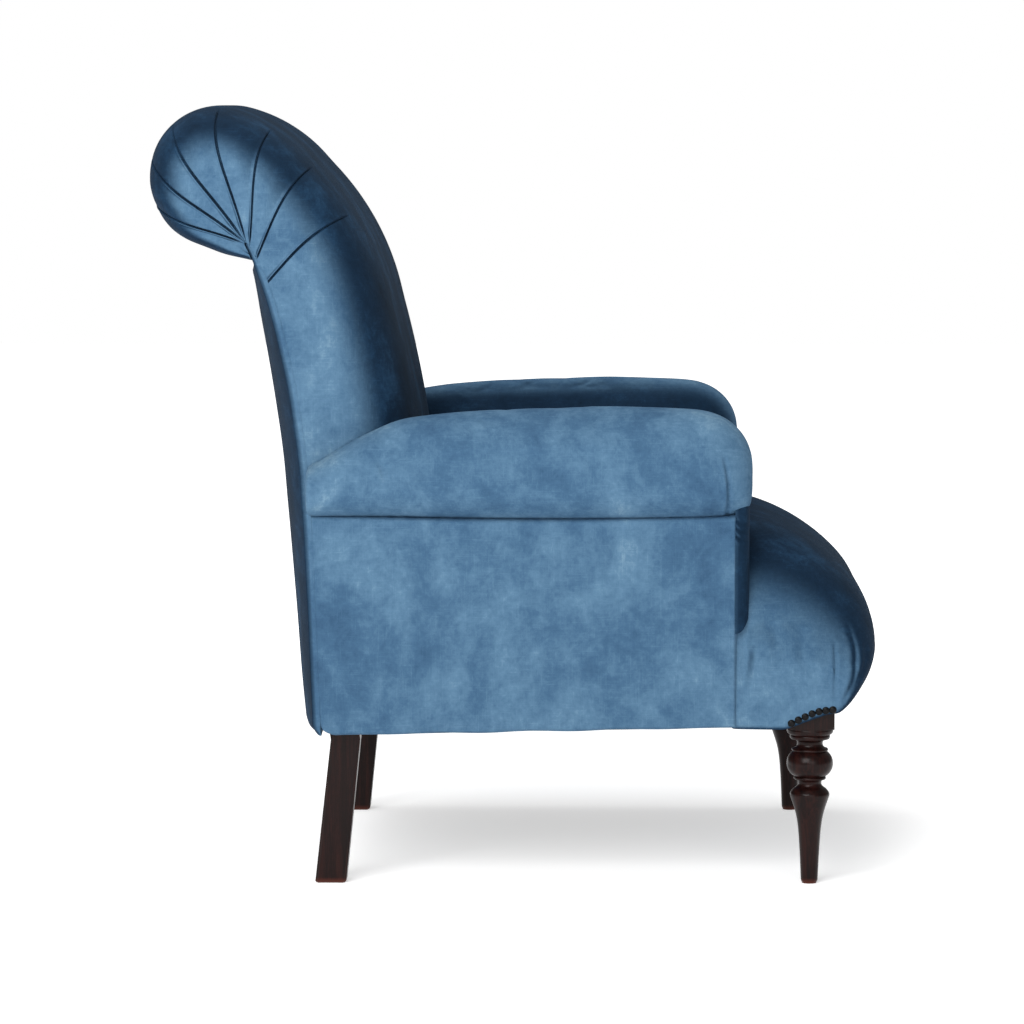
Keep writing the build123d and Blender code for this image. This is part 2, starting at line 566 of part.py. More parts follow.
def seat_front(inset):
    """The full-width front of the seat with its rolled nose, drawn in by inset all round."""
    with BuildPart() as front:
        with BuildSketch(Plane.YZ):
            with BuildLine():
                Line((SEAT_FRONT_JOIN, SEAT_CROWN), NOSE_TOP[0])
                ThreePointArc(*NOSE_TOP)
                ThreePointArc(*NOSE_FRONT)
                ThreePointArc(*NOSE_UNDER)
                Polyline(NOSE_UNDER[-1], (-388.0, 213.0), (-327.0, 193.0), (SEAT_FRONT_JOIN, 195.0),
                         (SEAT_FRONT_JOIN, SEAT_CROWN))
            make_face()
            if inset:
                offset(amount=-inset, kind=Kind.ARC)
        extrude(amount=SEAT_HALF_FRONT - inset, both=True)
        with BuildSketch():
            with Locations((0, SEAT_PLAN_Y)):
                RectangleRounded(2 * (SEAT_HALF_FRONT - inset), 2 * (SEAT_PLAN_HALF - inset),
                                 NOSE_CORNER - inset)
        extrude(amount=OVERALL_HEIGHT, mode=Mode.INTERSECT)
    return front.part


def seat_form(inset):
    """The T-shaped seat: the full-width front and the part between the arms."""
    half = SEAT_HALF_BETWEEN - inset
    full_width = seat_front(inset)
    with BuildPart() as form:
        add(full_width)
        block((-half, half), (SEAT_FRONT_JOIN - 40.0, SEAT_REAR_Y - inset), (SEAT_BASE, SEAT_CROWN - inset))
        for side, hand in SIDES:
            block((side * (half + 0.1), side * FAR_OUT),
                  (STUMP_FRONT - FACING_THICK - inset, STUMP_FRONT + SEAT_NOTCH_LENGTH),
                  (FACING_LOW - inset - CLEAR, SEAT_CROWN + 1), mode=Mode.SUBTRACT)
        # The seat frame fills everything below the springs' hessian, behind the front rail.
        block((-SIDE_RAIL_OUT - CLEAR, SIDE_RAIL_OUT + CLEAR), (FRONT_RAIL_FACE - 2 - CLEAR, BACK_SPAN[1]),
              (LOW_SPAN[0], SEAT_BASE), mode=Mode.SUBTRACT)
    return form.part


seat_core = seat_form(COVER)
seat_whole = seat_form(0.0)

with BuildPart() as seat_foam:
    add(seat_core)
save(seat_foam, "seat_foam")

with BuildPart() as seat_cover:
    add(seat_whole)
    add(seat_core, mode=Mode.SUBTRACT)
    for side, hand in SIDES:
        add(nail_rows[side], mode=Mode.SUBTRACT)
save(seat_cover, "seat_cover")

# ---------------------------------------------------------------- back foam and cover
BACK_FOOT_Z = 330.0
BACK_FOOT_REAR = (247.0, BACK_FOOT_Z)
SCROLL_UNDER = (403.0, 786.0)
FRAME_DEPTH = 60.0                  # deeper than any piece of the back frame
BACK_FRONT_LOW = (112.0, 440.0)
BACK_FRONT = (BACK_FRONT_LOW, (128.0, 566.0), (158.0, 702.0))
BACK_SHOULDER = (BACK_FRONT[-1], (196.0, 804.0), (253.0, 879.0))
BACK_CREST = (BACK_SHOULDER[-1], (307.0, 926.0), (SCROLL_CENTRE[0], OVERALL_HEIGHT))
SCROLL_HIGH = (SCROLL_CENTRE[0] + SCROLL_RADIUS * 0.883, SCROLL_CENTRE[1] + SCROLL_RADIUS * 0.469)
SCROLL_REAR = (SCROLL_CENTRE[0] + SCROLL_RADIUS, SCROLL_CENTRE[1])
SCROLL_LOW = (SCROLL_CENTRE[0] + SCROLL_RADIUS * 0.819, SCROLL_CENTRE[1] - SCROLL_RADIUS * 0.574)
ROLL_TOP_LINE = ((252.0, 514.0), (201.0, 546.0), (147.0, 570.0), (112.0, 575.0))


def back_form(inset, half_width):
    """The inside back and its scroll in side view, drawn in by inset, across the given half width."""
    frame_space = post_front_strip(BACK_PLANE, FRAME_DEPTH, POST_OUT + FRAME_GAP)
    with BuildPart() as form:
        with BuildSketch(Plane.YZ):
            with BuildLine():
                Polyline(BACK_FOOT_REAR, (BACK_FRONT_LOW[0], BACK_FOOT_Z), BACK_FRONT_LOW)
                ThreePointArc(*BACK_FRONT)
                ThreePointArc(*BACK_SHOULDER)
                ThreePointArc(*BACK_CREST)
                ThreePointArc(BACK_CREST[-1], SCROLL_HIGH, SCROLL_REAR)
                ThreePointArc(SCROLL_REAR, SCROLL_LOW, SCROLL_UNDER)
                Line(SCROLL_UNDER, NECK)
                ThreePointArc(NECK, SEAM_MID, SEAM_ARM)
                Line(SEAM_ARM, BACK_FOOT_REAR)
            make_face()
            if inset:
                offset(amount=-inset, kind=Kind.ARC)
        extrude(amount=half_width, both=True)
        # The arms run back past the sides of the back, so its lower part narrows to fit between them.
        for side, hand in SIDES:
            with BuildSketch(Plane.YZ.offset(side * (ROLL_IN - CLEAR))):
                with BuildLine():
                    Polyline((60.0, 300.0), (310.0, 300.0), (310.0, 478.0),
                             *[shifted(point, 0, CLEAR) for point in ROLL_TOP_LINE], (60.0, 590.0),
                             close=True)
                make_face()
            extrude(amount=side * (FAR_OUT - ROLL_IN), mode=Mode.SUBTRACT)
        # The posts, rails, webbing and hessian fill the space behind the foam.
        add(frame_space, mode=Mode.SUBTRACT)
        for side, hand in SIDES:
            add(posts[side], mode=Mode.SUBTRACT)
    return form.part


with BuildPart() as scroll_space:
    with BuildSketch(Plane.YZ):
        add(former_sketch())
        offset(amount=BOARD, kind=Kind.ARC)
    extrude(amount=FORMER_OUT, both=True)

back_core = back_form(COVER, POST_OUT + FRAME_GAP) - scroll_space.part
back_whole = back_form(0.0, BACK_HALF_WIDTH) - scroll_space.part

with BuildPart() as back_foam:
    add(back_core)
save(back_foam, "back_foam")

with BuildPart() as back_cover:
    add(back_whole)
    add(back_core, mode=Mode.SUBTRACT)
save(back_cover, "back_cover")

# ---------------------------------------------------------------- arm pads, covers, facings and panels
ROLL_FRONT_Y = -285.0
ROLL_MIDDLE_X = (ROLL_IN + ROLL_OUT) / 2
ROLL_MIDDLE_Z = (ROLL_BOTTOM + ROLL_TOP) / 2
ARM_LENGTH = 560.0
LINING_TOP = 500.0                  # the inside lining ends within the roll
ARM_SPAN = (200.0, FAR_OUT)
FACING_CORNER = 12.0


def arm_form(side, inset):
    """The arm's roll and its inside face, drawn in by inset."""
    frame_space = post_front_strip(BACK_PLANE - 0.1, FRAME_DEPTH, POST_OUT + FRAME_GAP)
    with BuildPart() as form:
        with BuildSketch(Plane(origin=(0, ROLL_FRONT_Y, 0), x_dir=(1, 0, 0), z_dir=(0, -1, 0))):
            with Locations((side * ROLL_MIDDLE_X, ROLL_MIDDLE_Z)):
                RectangleRounded(ROLL_OUT - ROLL_IN - 2 * inset, ROLL_TOP - ROLL_BOTTOM - 2 * inset,
                                 ROLL_CORNER - inset)
            with Locations((side * (ARM_IN + inset + ARM_LINING) / 2, (BACK_FOOT_Z + LINING_TOP) / 2)):
                Rectangle(ARM_LINING - ARM_IN - inset, LINING_TOP - BACK_FOOT_Z)
        extrude(amount=-ARM_LENGTH)
        with BuildSketch(Plane.YZ.offset(side * ARM_SPAN[0])):
            with BuildLine():
                Polyline((STUMP_FRONT, ROLL_BOTTOM), (STUMP_FRONT, BACK_FOOT_Z), (252.0, BACK_FOOT_Z),
                         *ROLL_TOP_LINE, (-120.0, ROLL_TOP), (-205.0, ROLL_TOP - 1))
                ThreePointArc((-205.0, ROLL_TOP - 1), (-263.0, 558.0), (ROLL_FRONT_Y, 510.0))
                ThreePointArc((ROLL_FRONT_Y, 510.0), (-281.0, 479.0), (STUMP_FRONT, ROLL_BOTTOM))
            make_face()
            if inset:
                offset(amount=-inset, kind=Kind.ARC)
        extrude(amount=side * (ARM_SPAN[1] - ARM_SPAN[0]), mode=Mode.INTERSECT)
        add(arm_frames[side], mode=Mode.SUBTRACT)
        add(posts[side], mode=Mode.SUBTRACT)
        add(frame_space, mode=Mode.SUBTRACT)
    return form.part


for side, hand in SIDES:
    arm_core = arm_form(side, COVER)
    arm_whole = arm_form(side, 0.0)
    with BuildPart() as arm_pad:
        add(arm_core)
    with BuildPart() as arm_cover:
        add(arm_whole)
        add(arm_core, mode=Mode.SUBTRACT)
    with BuildPart() as arm_facing:
        with BuildSketch(Plane.XY.offset(FACING_LOW)):
            with Locations((side * (ARM_IN + PANEL_OUT) / 2, STUMP_FRONT - FACING_THICK / 2)):
                Rectangle(PANEL_OUT - ARM_IN, FACING_THICK)
        extrude(amount=ROLL_BOTTOM - CLEAR - FACING_LOW)
        fillet(arm_facing.edges().filter_by(Axis.Z).group_by(Axis.Y)[0], radius=FACING_CORNER)
    with BuildPart() as outside_arm:
        with BuildSketch(Plane.YZ.offset(side * PANEL_IN)):
            with BuildLine():
                Polyline((STUMP_FRONT + CLEAR, 195.0), (234.0, 183.0), SEAM_LOW, SEAM_ARM,
                         (SEAM_ARM[0], ROLL_BOTTOM - CLEAR), (STUMP_FRONT + CLEAR, ROLL_BOTTOM - CLEAR),
                         close=True)
            make_face()
        extrude(amount=side * (PANEL_OUT - PANEL_IN))
    save(arm_pad, f"arm_pad_{hand}")
    save(arm_cover, f"arm_cover_{hand}")
    save(arm_facing, f"arm_facing_{hand}")
    save(outside_arm, f"outside_arm_{hand}")

# ---------------------------------------------------------------- outside back
OUTSIDE_BACK_SPAN = (200.0, 400.0)      # in Y, all of the panel
OUTSIDE_REAR = ((342.0, 752.0), (308.0, 610.0), (289.0, 452.0), (268.0, 188.0))
with BuildPart() as outside_back:
    with BuildSketch(Plane.YZ):
        with BuildLine():
            Spline(*OUTSIDE_REAR)
            Polyline(OUTSIDE_REAR[-1], (shifted(SEAM_LOW, CLEAR)[0], 186.0), shifted(SEAM_LOW, CLEAR),
                     shifted(SEAM_ARM, CLEAR))
            ThreePointArc(shifted(SEAM_ARM, CLEAR), shifted(SEAM_MID, CLEAR), shifted(NECK, CLEAR, -CLEAR))
            Line(shifted(NECK, CLEAR, -CLEAR), OUTSIDE_REAR[0])
        make_face()
    extrude(amount=PANEL_OUT - 1.0, both=True)
    for side, hand in SIDES:
        block((side * (BACK_HALF_WIDTH - 1.0), side * FAR_OUT), OUTSIDE_BACK_SPAN,
              (ROLL_BOTTOM, SCROLL_CENTRE[1]), mode=Mode.SUBTRACT)
save(outside_back, "outside_back")

# ---------------------------------------------------------------- dust cover under the seat
CAMBRIC = 1.2
CAMBRIC_TURN_IN = 4.0               # it stops this far inside the rails' outer faces
with BuildPart() as dust_cover:
    with BuildSketch(Plane.YZ):
        front_y = FRONT_RAIL_FACE + CAMBRIC_TURN_IN
        rear_y = REAR_RAIL_FACE - CAMBRIC_TURN_IN
        with BuildLine():
            Polyline((front_y, rail_bottom(front_y)), (rear_y, rail_bottom(rear_y)),
                     (rear_y, rail_bottom(rear_y) - CAMBRIC), (front_y, rail_bottom(front_y) - CAMBRIC),
                     close=True)
        make_face()
    extrude(amount=SIDE_RAIL_OUT - CAMBRIC_TURN_IN - 2.0, both=True)
    for side, hand in SIDES:
        block((side * (LEG_FRONT_X - LEG_BLOCK / 2 - 1), side * FAR_OUT),
              (LEG_FRONT_Y - LEG_BLOCK, LEG_FRONT_Y + LEG_BLOCK / 2 + 1), LOW_SPAN, mode=Mode.SUBTRACT)
        block((side * (POST_IN - 1), side * FAR_OUT), (POST_FRONT_LOW[0] - 5.0, BACK_SPAN[1]), LOW_SPAN,
              mode=Mode.SUBTRACT)
save(dust_cover, "dust_cover")
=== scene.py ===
# %% [markdown]
# # A scroll-back armchair in blue velvet
#
# The timber frame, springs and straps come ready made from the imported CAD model. This lesson adds what an
# upholsterer adds: a pleated inside back that rolls over into a scroll, rolled arms, a sprung seat with a
# fat front edge, flat outside panels and domed nails. Each cover is its own closed mesh, in the frame's own
# axes: the chair faces -Y, +Z is up, and the sitter's right hand is at -X.

# %% Load the frame
import json
import math

import bmesh
import bpy
import numpy as np
from mathutils import Matrix, Vector


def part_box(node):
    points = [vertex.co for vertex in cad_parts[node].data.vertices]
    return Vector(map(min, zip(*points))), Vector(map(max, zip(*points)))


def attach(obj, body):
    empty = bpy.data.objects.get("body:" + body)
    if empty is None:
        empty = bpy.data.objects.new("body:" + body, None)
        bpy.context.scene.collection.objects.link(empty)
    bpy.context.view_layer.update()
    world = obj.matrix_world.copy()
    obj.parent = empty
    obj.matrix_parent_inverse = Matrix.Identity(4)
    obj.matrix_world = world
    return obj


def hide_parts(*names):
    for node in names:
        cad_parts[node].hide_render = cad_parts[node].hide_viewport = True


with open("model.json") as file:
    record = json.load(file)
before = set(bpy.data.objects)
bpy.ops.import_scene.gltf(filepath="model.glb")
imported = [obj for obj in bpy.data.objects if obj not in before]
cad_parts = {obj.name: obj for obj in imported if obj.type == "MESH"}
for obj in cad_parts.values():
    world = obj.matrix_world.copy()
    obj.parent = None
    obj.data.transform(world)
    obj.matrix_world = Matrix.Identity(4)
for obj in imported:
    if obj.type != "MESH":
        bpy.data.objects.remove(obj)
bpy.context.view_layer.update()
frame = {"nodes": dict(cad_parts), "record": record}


# %% [markdown]
# Shapes are worked out in millimetres and turned to metres when a mesh is made. The main sizes are read from
# the boxes of the CAD covers.

# %% Sizes from the frame
MM = 1000.0


def box_mm(node):
    """Lowest and highest corner of a CAD node, in millimetres."""
    low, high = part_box(node)
    return np.array(low) * MM, np.array(high) * MM


back_high = box_mm("back_cover")[1]
arm_low, arm_high = box_mm("arm_cover_left")
seat_high = box_mm("seat_cover")[1]
panel_low, panel_high = box_mm("outside_arm_left")
facing_low, facing_high = box_mm("arm_facing_left")
outside_low, outside_high = box_mm("outside_back")

BACK_HALF = back_high[0]
SCROLL_TOP = back_high[2]
SEAT_HALF = seat_high[0]
SEAT_CROWN = seat_high[2]
ROLL_IN, ROLL_OUT = arm_low[0], arm_high[0]
ROLL_TOP = arm_high[2]
PANEL_TOP = panel_high[2]
print("back half width", round(BACK_HALF), "seat crown", round(SEAT_CROWN), "arm top", round(ROLL_TOP))


# %% [markdown]
# ## Helpers for meshes
#
# Most covers here are lofts: a row of closed loops, joined loop by loop, with a fan of triangles over each
# end. A few lines of numpy make the points, which keeps every pleat and seam where a hand would put it.

# %% Curves
def arc(start, middle, end, count=24):
    """Points on the circle through three points of a side view."""
    (ax, ay), (bx, by), (cx, cy) = start, middle, end
    d = 2 * (ax * (by - cy) + bx * (cy - ay) + cx * (ay - by))
    ux = ((ax**2 + ay**2) * (by - cy) + (bx**2 + by**2) * (cy - ay) + (cx**2 + cy**2) * (ay - by)) / d
    uy = ((ax**2 + ay**2) * (cx - bx) + (bx**2 + by**2) * (ax - cx) + (cx**2 + cy**2) * (bx - ax)) / d
    first, half, last = (math.atan2(y - uy, x - ux) for x, y in (start, middle, end))
    turn = (last - first) % (2 * math.pi)
    if (half - first) % (2 * math.pi) > turn:
        turn -= 2 * math.pi
    angles = first + turn * np.linspace(0, 1, count)
    radius = math.hypot(ax - ux, ay - uy)
    return np.column_stack([ux + radius * np.cos(angles), uy + radius * np.sin(angles)])


def lengths_along(path):
    """Distance from the first point of a path to each of its points."""
    steps = np.linalg.norm(np.diff(path, axis=0), axis=1)
    return np.concatenate([[0], np.cumsum(steps)])


def resample(path, spots):
    """Points at the given distances along a path."""
    along = lengths_along(path)
    return np.column_stack([np.interp(spots, along, path[:, axis]) for axis in range(path.shape[1])])


def smoothed(path, window):
    """A path with its corners eased by a running mean over an odd number of its points."""
    pad = window // 2
    longer = np.concatenate([2 * path[:1] - path[pad:0:-1], path, 2 * path[-1:] - path[-2:-pad - 2:-1]])
    kernel = np.ones(window) / window
    return np.column_stack([np.convolve(longer[:, axis], kernel, "valid") for axis in range(path.shape[1])])


def smoothstep(value, low, high):
    """0 below low, 1 above high, and an S curve between."""
    share = np.clip((value - low) / (high - low), 0, 1)
    return share * share * (3 - 2 * share)


def softened(wave, power):
    """A sine or cosine raised to a power with its sign kept, which makes a round corner squarer."""
    return np.sign(wave) * np.abs(wave) ** power


# %% Lofts
def placed(name, data):
    """An object for a mesh, a light or a camera, linked to the scene."""
    made = bpy.data.objects.new(name, data)
    bpy.context.scene.collection.objects.link(made)
    return made


def shade_smooth(mesh, sharp_angle):
    """Shades a mesh smooth, but for edges past an angle in degrees."""
    mesh.polygons.foreach_set("use_smooth", [True] * len(mesh.polygons))
    mesh.set_sharp_from_angle(angle=math.radians(sharp_angle))


def loft(name, rows, sharp_angle=60):
    """A closed mesh from rows of closed loops in millimetres, with both ends fanned shut."""
    rows = np.asarray(rows) / MM
    count, around = rows.shape[:2]
    points = np.concatenate([rows.reshape(-1, 3), [rows[0].mean(0)], [rows[-1].mean(0)]])
    faces = []
    for row in range(count - 1):
        low, high = row * around, (row + 1) * around
        for i in range(around):
            j = (i + 1) % around
            faces.append((low + i, low + j, high + j, high + i))
    first, last = count * around, count * around + 1
    for i in range(around):
        j = (i + 1) % around
        faces.append((first, j, i))
        faces.append((last, (count - 1) * around + i, (count - 1) * around + j))
    mesh = bpy.data.meshes.new(name)
    mesh.from_pydata(points.tolist(), [], faces)
    tidy_mesh(mesh, sharp_angle)
    return placed(name, mesh)


def tidy_mesh(mesh, sharp_angle):
    """Merges doubled points, turns every face outwards, and shades it smooth up to an angle."""
    work = bmesh.new()
    work.from_mesh(mesh)
    bmesh.ops.remove_doubles(work, verts=work.verts, dist=1e-5)
    bmesh.ops.recalc_face_normals(work, faces=work.faces)
    work.to_mesh(mesh)
    work.free()
    shade_smooth(mesh, sharp_angle)


def points_of(piece):
    """A mesh's points in millimetres."""
    flat = np.zeros(len(piece.data.vertices) * 3)
    piece.data.vertices.foreach_get("co", flat)
    return flat.reshape(-1, 3) * MM


def normals_of(piece):
    """A mesh's outward directions, one for each point."""
    flat = np.zeros(len(piece.data.vertices) * 3)
    piece.data.vertices.foreach_get("normal", flat)
    return flat.reshape(-1, 3)


def put_points(piece, points):
    """Moves a mesh's points to the given places in millimetres."""
    piece.data.vertices.foreach_set("co", (points / MM).ravel())
    piece.data.update()


def mirrored(piece, name):
    """A copy of a piece on the chair's other side."""
    mesh = piece.data.copy()
    mesh.name = name
    mesh.transform(Matrix.Scale(-1, 4, (1, 0, 0)))
    mesh.flip_normals()
    return placed(name, mesh)


# %% [markdown]
# A crease is a narrow valley with a soft ridge beside it. It is pressed into the finished mesh along a line
# drawn in side view, and it fades at both ends.

# %% Creases
RIDGE = 0.35


def crease(points, normals, line, depth, width, where=1.0):
    """Presses a crease along a side-view line (Y, Z) into points in millimetres."""
    path = np.asarray(line, float)
    path = smoothed(resample(path, np.linspace(0, lengths_along(path)[-1], 41)), 9)
    flat = points[:, 1:]
    near = np.full(len(points), 1e9)
    share = np.zeros(len(points))
    hand = np.zeros(len(points))
    for i in range(len(path) - 1):
        step = path[i + 1] - path[i]
        size = np.linalg.norm(step)
        offset = flat - path[i]
        t = np.clip(offset @ step / size**2, 0, 1)
        away = offset - t[:, None] * step
        gap = np.linalg.norm(away, axis=1)
        closer = gap < near
        near[closer] = gap[closer]
        share[closer] = ((i + t) / (len(path) - 1))[closer]
        hand[closer] = np.sign(step[0] * away[:, 1] - step[1] * away[:, 0])[closer]
    fade = np.sin(np.pi * np.clip(share, 0, 1)) ** 0.6
    valley = np.exp(-((near / width) ** 2))
    swell = RIDGE * np.exp(-(((near - 2.4 * width) / (1.6 * width)) ** 2)) * (hand > 0)
    push = depth * fade * (swell - valley) * where
    return points + normals * push[:, None]


# %% [markdown]
# ## Helpers for materials
#
# Colours are picked as sRGB hex values, as a swatch book gives them, and one function turns them to the
# linear values that a shader works in. One more function adds a node with its settings and links.

# %% Colours and nodes
def linear(hex_colour):
    """An sRGB hex colour as linear RGBA."""
    values = [int(hex_colour[i:i + 2], 16) / 255 for i in (1, 3, 5)]
    return [v / 12.92 if v <= 0.04045 else ((v + 0.055) / 1.055) ** 2.4 for v in values] + [1.0]


def add(tree, kind, inputs=None, stops=None, **settings):
    """Adds a node, sets it up, and fills or links its inputs."""
    made = tree.nodes.new(kind)
    for key, value in settings.items():
        setattr(made, key, value)
    for key, value in (inputs or {}).items():
        if isinstance(value, bpy.types.NodeSocket):
            tree.links.new(value, made.inputs[key])
        else:
            made.inputs[key].default_value = value
    if stops:
        elements = made.color_ramp.elements
        while len(elements) < len(stops):
            elements.new(0.5)
        for element, (place, colour) in zip(elements, stops):
            element.position = place
            element.color = linear(colour)
    return made


def new_material(name, **shader):
    """A material with the given uniform shader values; returns it, its tree, its shader and its mapping."""
    made = bpy.data.materials.new(name)
    made.use_nodes = True
    tree = made.node_tree
    surface = tree.nodes["Principled BSDF"]
    for key, value in shader.items():
        surface.inputs[key.replace("_", " ")].default_value = value
    return made, tree, surface, add(tree, "ShaderNodeTexCoord").outputs["Object"]


def coloured(tree, surface, pattern, stops, strength, height):
    """Colours a surface by a pattern and raises it by the same pattern, up to a height in metres."""
    tint = add(tree, "ShaderNodeValToRGB", {"Fac": pattern}, stops=stops).outputs["Color"]
    tree.links.new(tint, surface.inputs["Base Color"])
    bump = add(tree, "ShaderNodeBump", {"Height": pattern, "Strength": strength, "Distance": height})
    tree.links.new(bump.outputs["Normal"], surface.inputs["Normal"])


# %% [markdown]
# ### Cotton velvet, crushed and rubbed
#
# Velvet is a woven ground with a short cut pile. Its navy is painted shade: each cut piece carries a
# direction as a mesh attribute, and faces that look along it (front and top faces of the back and seat, inner
# faces of the arms, the rear of the outside back) are mixed towards a shaded copy of the dye, standing in for
# the shade those faces fall into. Handling leaves cloudy patches up to 150 mm wide and rubs of about 30 mm,
# and the ground's thicker threads show through as short pale lines. They are drawn 1.6 mm wide, coarser than
# they are, so that they show.

# %% Velvet
PATCH_MM = 150.0
RUB_MM = 34.0
STROKE_MM = (60.0, 60.0, 190.0)
THREAD_MM = 1.6
THREAD_LENGTH_MM = 30.0
MOTTLE_MM = 7.0
PILE_MM = 0.9

velvet, tree, surface, place = new_material(
    "cotton_velvet_rubbed_blue", Roughness=0.88, IOR=1.45, Specular_IOR_Level=0.08,
    Sheen_Weight=0.03, Sheen_Roughness=0.40, Sheen_Tint=linear("#8fb0cc"))
patch = add(tree, "ShaderNodeTexNoise", {"Vector": place, "Scale": MM / PATCH_MM, "Detail": 5.0,
                                         "Roughness": 0.62, "Distortion": 0.7}).outputs["Fac"]
rub = add(tree, "ShaderNodeTexNoise", {"Vector": place, "Scale": MM / RUB_MM, "Detail": 6.0,
                                       "Roughness": 0.7, "Distortion": 0.3}).outputs["Fac"]
brushed = add(tree, "ShaderNodeMapping", {"Vector": place, "Scale": [MM / size for size in STROKE_MM],
                                          "Rotation": (0.3, 0.0, 0.0)}).outputs["Vector"]
stroke = add(tree, "ShaderNodeTexNoise", {"Vector": brushed, "Scale": 1.0, "Detail": 4.0}).outputs["Fac"]
cloud = 0.0
for pattern, share in ((patch, 0.42), (rub, 0.33), (stroke, 0.25)):
    cloud = add(tree, "ShaderNodeMath", {0: pattern, 1: share, 2: cloud}, operation="MULTIPLY_ADD").outputs[0]
tone = add(tree, "ShaderNodeMapRange", {"Value": cloud, "From Min": 0.31,
                                        "From Max": 0.70}).outputs["Result"]

thin, long = MM / THREAD_MM, MM / THREAD_LENGTH_MM
weave = []
for scale in ((long, long, thin), (thin, thin, long)):
    stretched = add(tree, "ShaderNodeMapping", {"Vector": place, "Scale": scale}).outputs["Vector"]
    weave.append(add(tree, "ShaderNodeTexNoise", {"Vector": stretched, "Scale": 1.0, "Detail": 1.0}))
weft, warp = (noise.outputs["Fac"] for noise in weave)
threads = add(tree, "ShaderNodeMath", {0: weft, 1: warp}, operation="MAXIMUM").outputs[0]
threads = add(tree, "ShaderNodeMapRange", {"Value": threads, "From Min": 0.56,
                                           "From Max": 0.80}).outputs["Result"]
pile = add(tree, "ShaderNodeTexNoise", {"Vector": place, "Scale": MM / PILE_MM, "Detail": 2.0}).outputs["Fac"]
mottle = add(tree, "ShaderNodeTexNoise", {"Vector": place, "Scale": MM / MOTTLE_MM, "Detail": 4.0,
                                          "Roughness": 0.75}).outputs["Fac"]
for pattern, share in ((threads, 0.11), (pile, 0.16), (mottle, 0.45)):
    tone = add(tree, "ShaderNodeMath", {0: pattern, 1: share, 2: tone}, operation="MULTIPLY_ADD").outputs[0]
tone = add(tree, "ShaderNodeMath", {0: tone, 1: 0.33}, operation="SUBTRACT").outputs[0]
dyed = add(tree, "ShaderNodeValToRGB", {"Fac": tone}, stops=(
    (0.0, "#2b4560"), (0.35, "#3b5974"), (0.68, "#506f88"), (1.0, "#728e9f"))).outputs["Color"]

# Painted shade: faces that look along the piece's shade direction are mixed towards a shaded copy of the dye,
# and the cloudy patches make that painted shade patchy.
looks = add(tree, "ShaderNodeNewGeometry").outputs["Normal"]
nap = add(tree, "ShaderNodeAttribute", attribute_name="nap").outputs["Vector"]
painted_shade_facing = add(tree, "ShaderNodeVectorMath", {0: looks, 1: nap}, operation="DOT_PRODUCT").outputs["Value"]
painted_shade_mottled = add(tree, "ShaderNodeMath", {0: cloud, 1: 0.6, 2: painted_shade_facing}, operation="MULTIPLY_ADD").outputs[0]
painted_shade_amount = add(tree, "ShaderNodeMapRange", {"Value": painted_shade_mottled, "From Min": 0.44, "From Max": 1.08,
                                         "To Max": 0.95}, interpolation_type="SMOOTHSTEP").outputs["Result"]
painted_shade_colour = add(tree, "ShaderNodeValToRGB", {"Fac": tone}, stops=(
    (0.0, "#051320"), (0.5, "#0a1f33"), (1.0, "#1b3b58"))).outputs["Color"]
shaded = add(tree, "ShaderNodeMix", {"Factor": painted_shade_amount, 6: dyed, 7: painted_shade_colour}, data_type="RGBA").outputs[2]
tree.links.new(shaded, surface.inputs["Base Color"])

height = add(tree, "ShaderNodeMath", {0: threads, 1: 0.6, 2: pile}, operation="MULTIPLY_ADD").outputs[0]
bump = add(tree, "ShaderNodeBump", {"Height": height, "Strength": 0.35, "Distance": 0.0006}).outputs["Normal"]
tree.links.new(bump, surface.inputs["Normal"])
print("velvet nodes", len(tree.nodes))


# %% [markdown]
# ### Stained and lacquered beech
#
# The legs are beech, turned or planed, with a dark mahogany stain and a satin lacquer. Beech is close
# grained: what shows is a faint red streak along the leg and worn edges near the floor. Lacquer gives a
# soft clear gloss.

# %% Mahogany-stained beech
GRAIN_MM = (7.0, 7.0, 160.0)
FLECK_MM = (1.3, 1.3, 9.0)

stained, tree, surface, place = new_material(
    "beech_stained_mahogany_satin_lacquer", Roughness=0.30, IOR=1.5, Specular_IOR_Level=0.12,
    Coat_Weight=0.04, Coat_Roughness=0.14)
along = add(tree, "ShaderNodeMapping", {
    "Vector": place, "Scale": [MM / size for size in GRAIN_MM]}).outputs["Vector"]
grain = add(tree, "ShaderNodeTexNoise", {"Vector": along, "Scale": 1.0, "Detail": 5.0, "Roughness": 0.65,
                                         "Distortion": 0.8}).outputs["Fac"]
flecks = add(tree, "ShaderNodeMapping", {
    "Vector": place, "Scale": [MM / size for size in FLECK_MM]}).outputs["Vector"]
fleck = add(tree, "ShaderNodeTexNoise", {"Vector": flecks, "Scale": 1.0, "Detail": 2.0}).outputs["Fac"]
mixed = add(tree, "ShaderNodeMath", {0: fleck, 1: 0.3, 2: grain}, operation="MULTIPLY_ADD").outputs[0]
stain = add(tree, "ShaderNodeValToRGB", {"Fac": mixed}, stops=(
    (0.42, "#0e0605"), (0.62, "#160908"), (0.80, "#25100d"))).outputs["Color"]
upward = add(tree, "ShaderNodeSeparateXYZ", {"Vector": place}).outputs["Z"]
scuffed = add(tree, "ShaderNodeMapRange", {"Value": upward, "From Min": 0.001, "From Max": 0.007,
                                           "To Min": 0.45, "To Max": 0.0}).outputs["Result"]
worn = add(tree, "ShaderNodeMix", {"Factor": scuffed, 6: stain, 7: linear("#6b3324")},
           data_type="RGBA").outputs[2]
tree.links.new(worn, surface.inputs["Base Color"])
bump = add(tree, "ShaderNodeBump", {"Height": grain, "Strength": 0.12, "Distance": 0.0008}).outputs["Normal"]
tree.links.new(bump, surface.inputs["Normal"])


# %% [markdown]
# ### The materials under the covers
#
# Planed beech rails, drawn spring wire, zinc-plated screws, jute straps, hessian, pressed board, foam and
# the black lining under the seat. Most are hidden, but each has the finish that an opened chair would show.

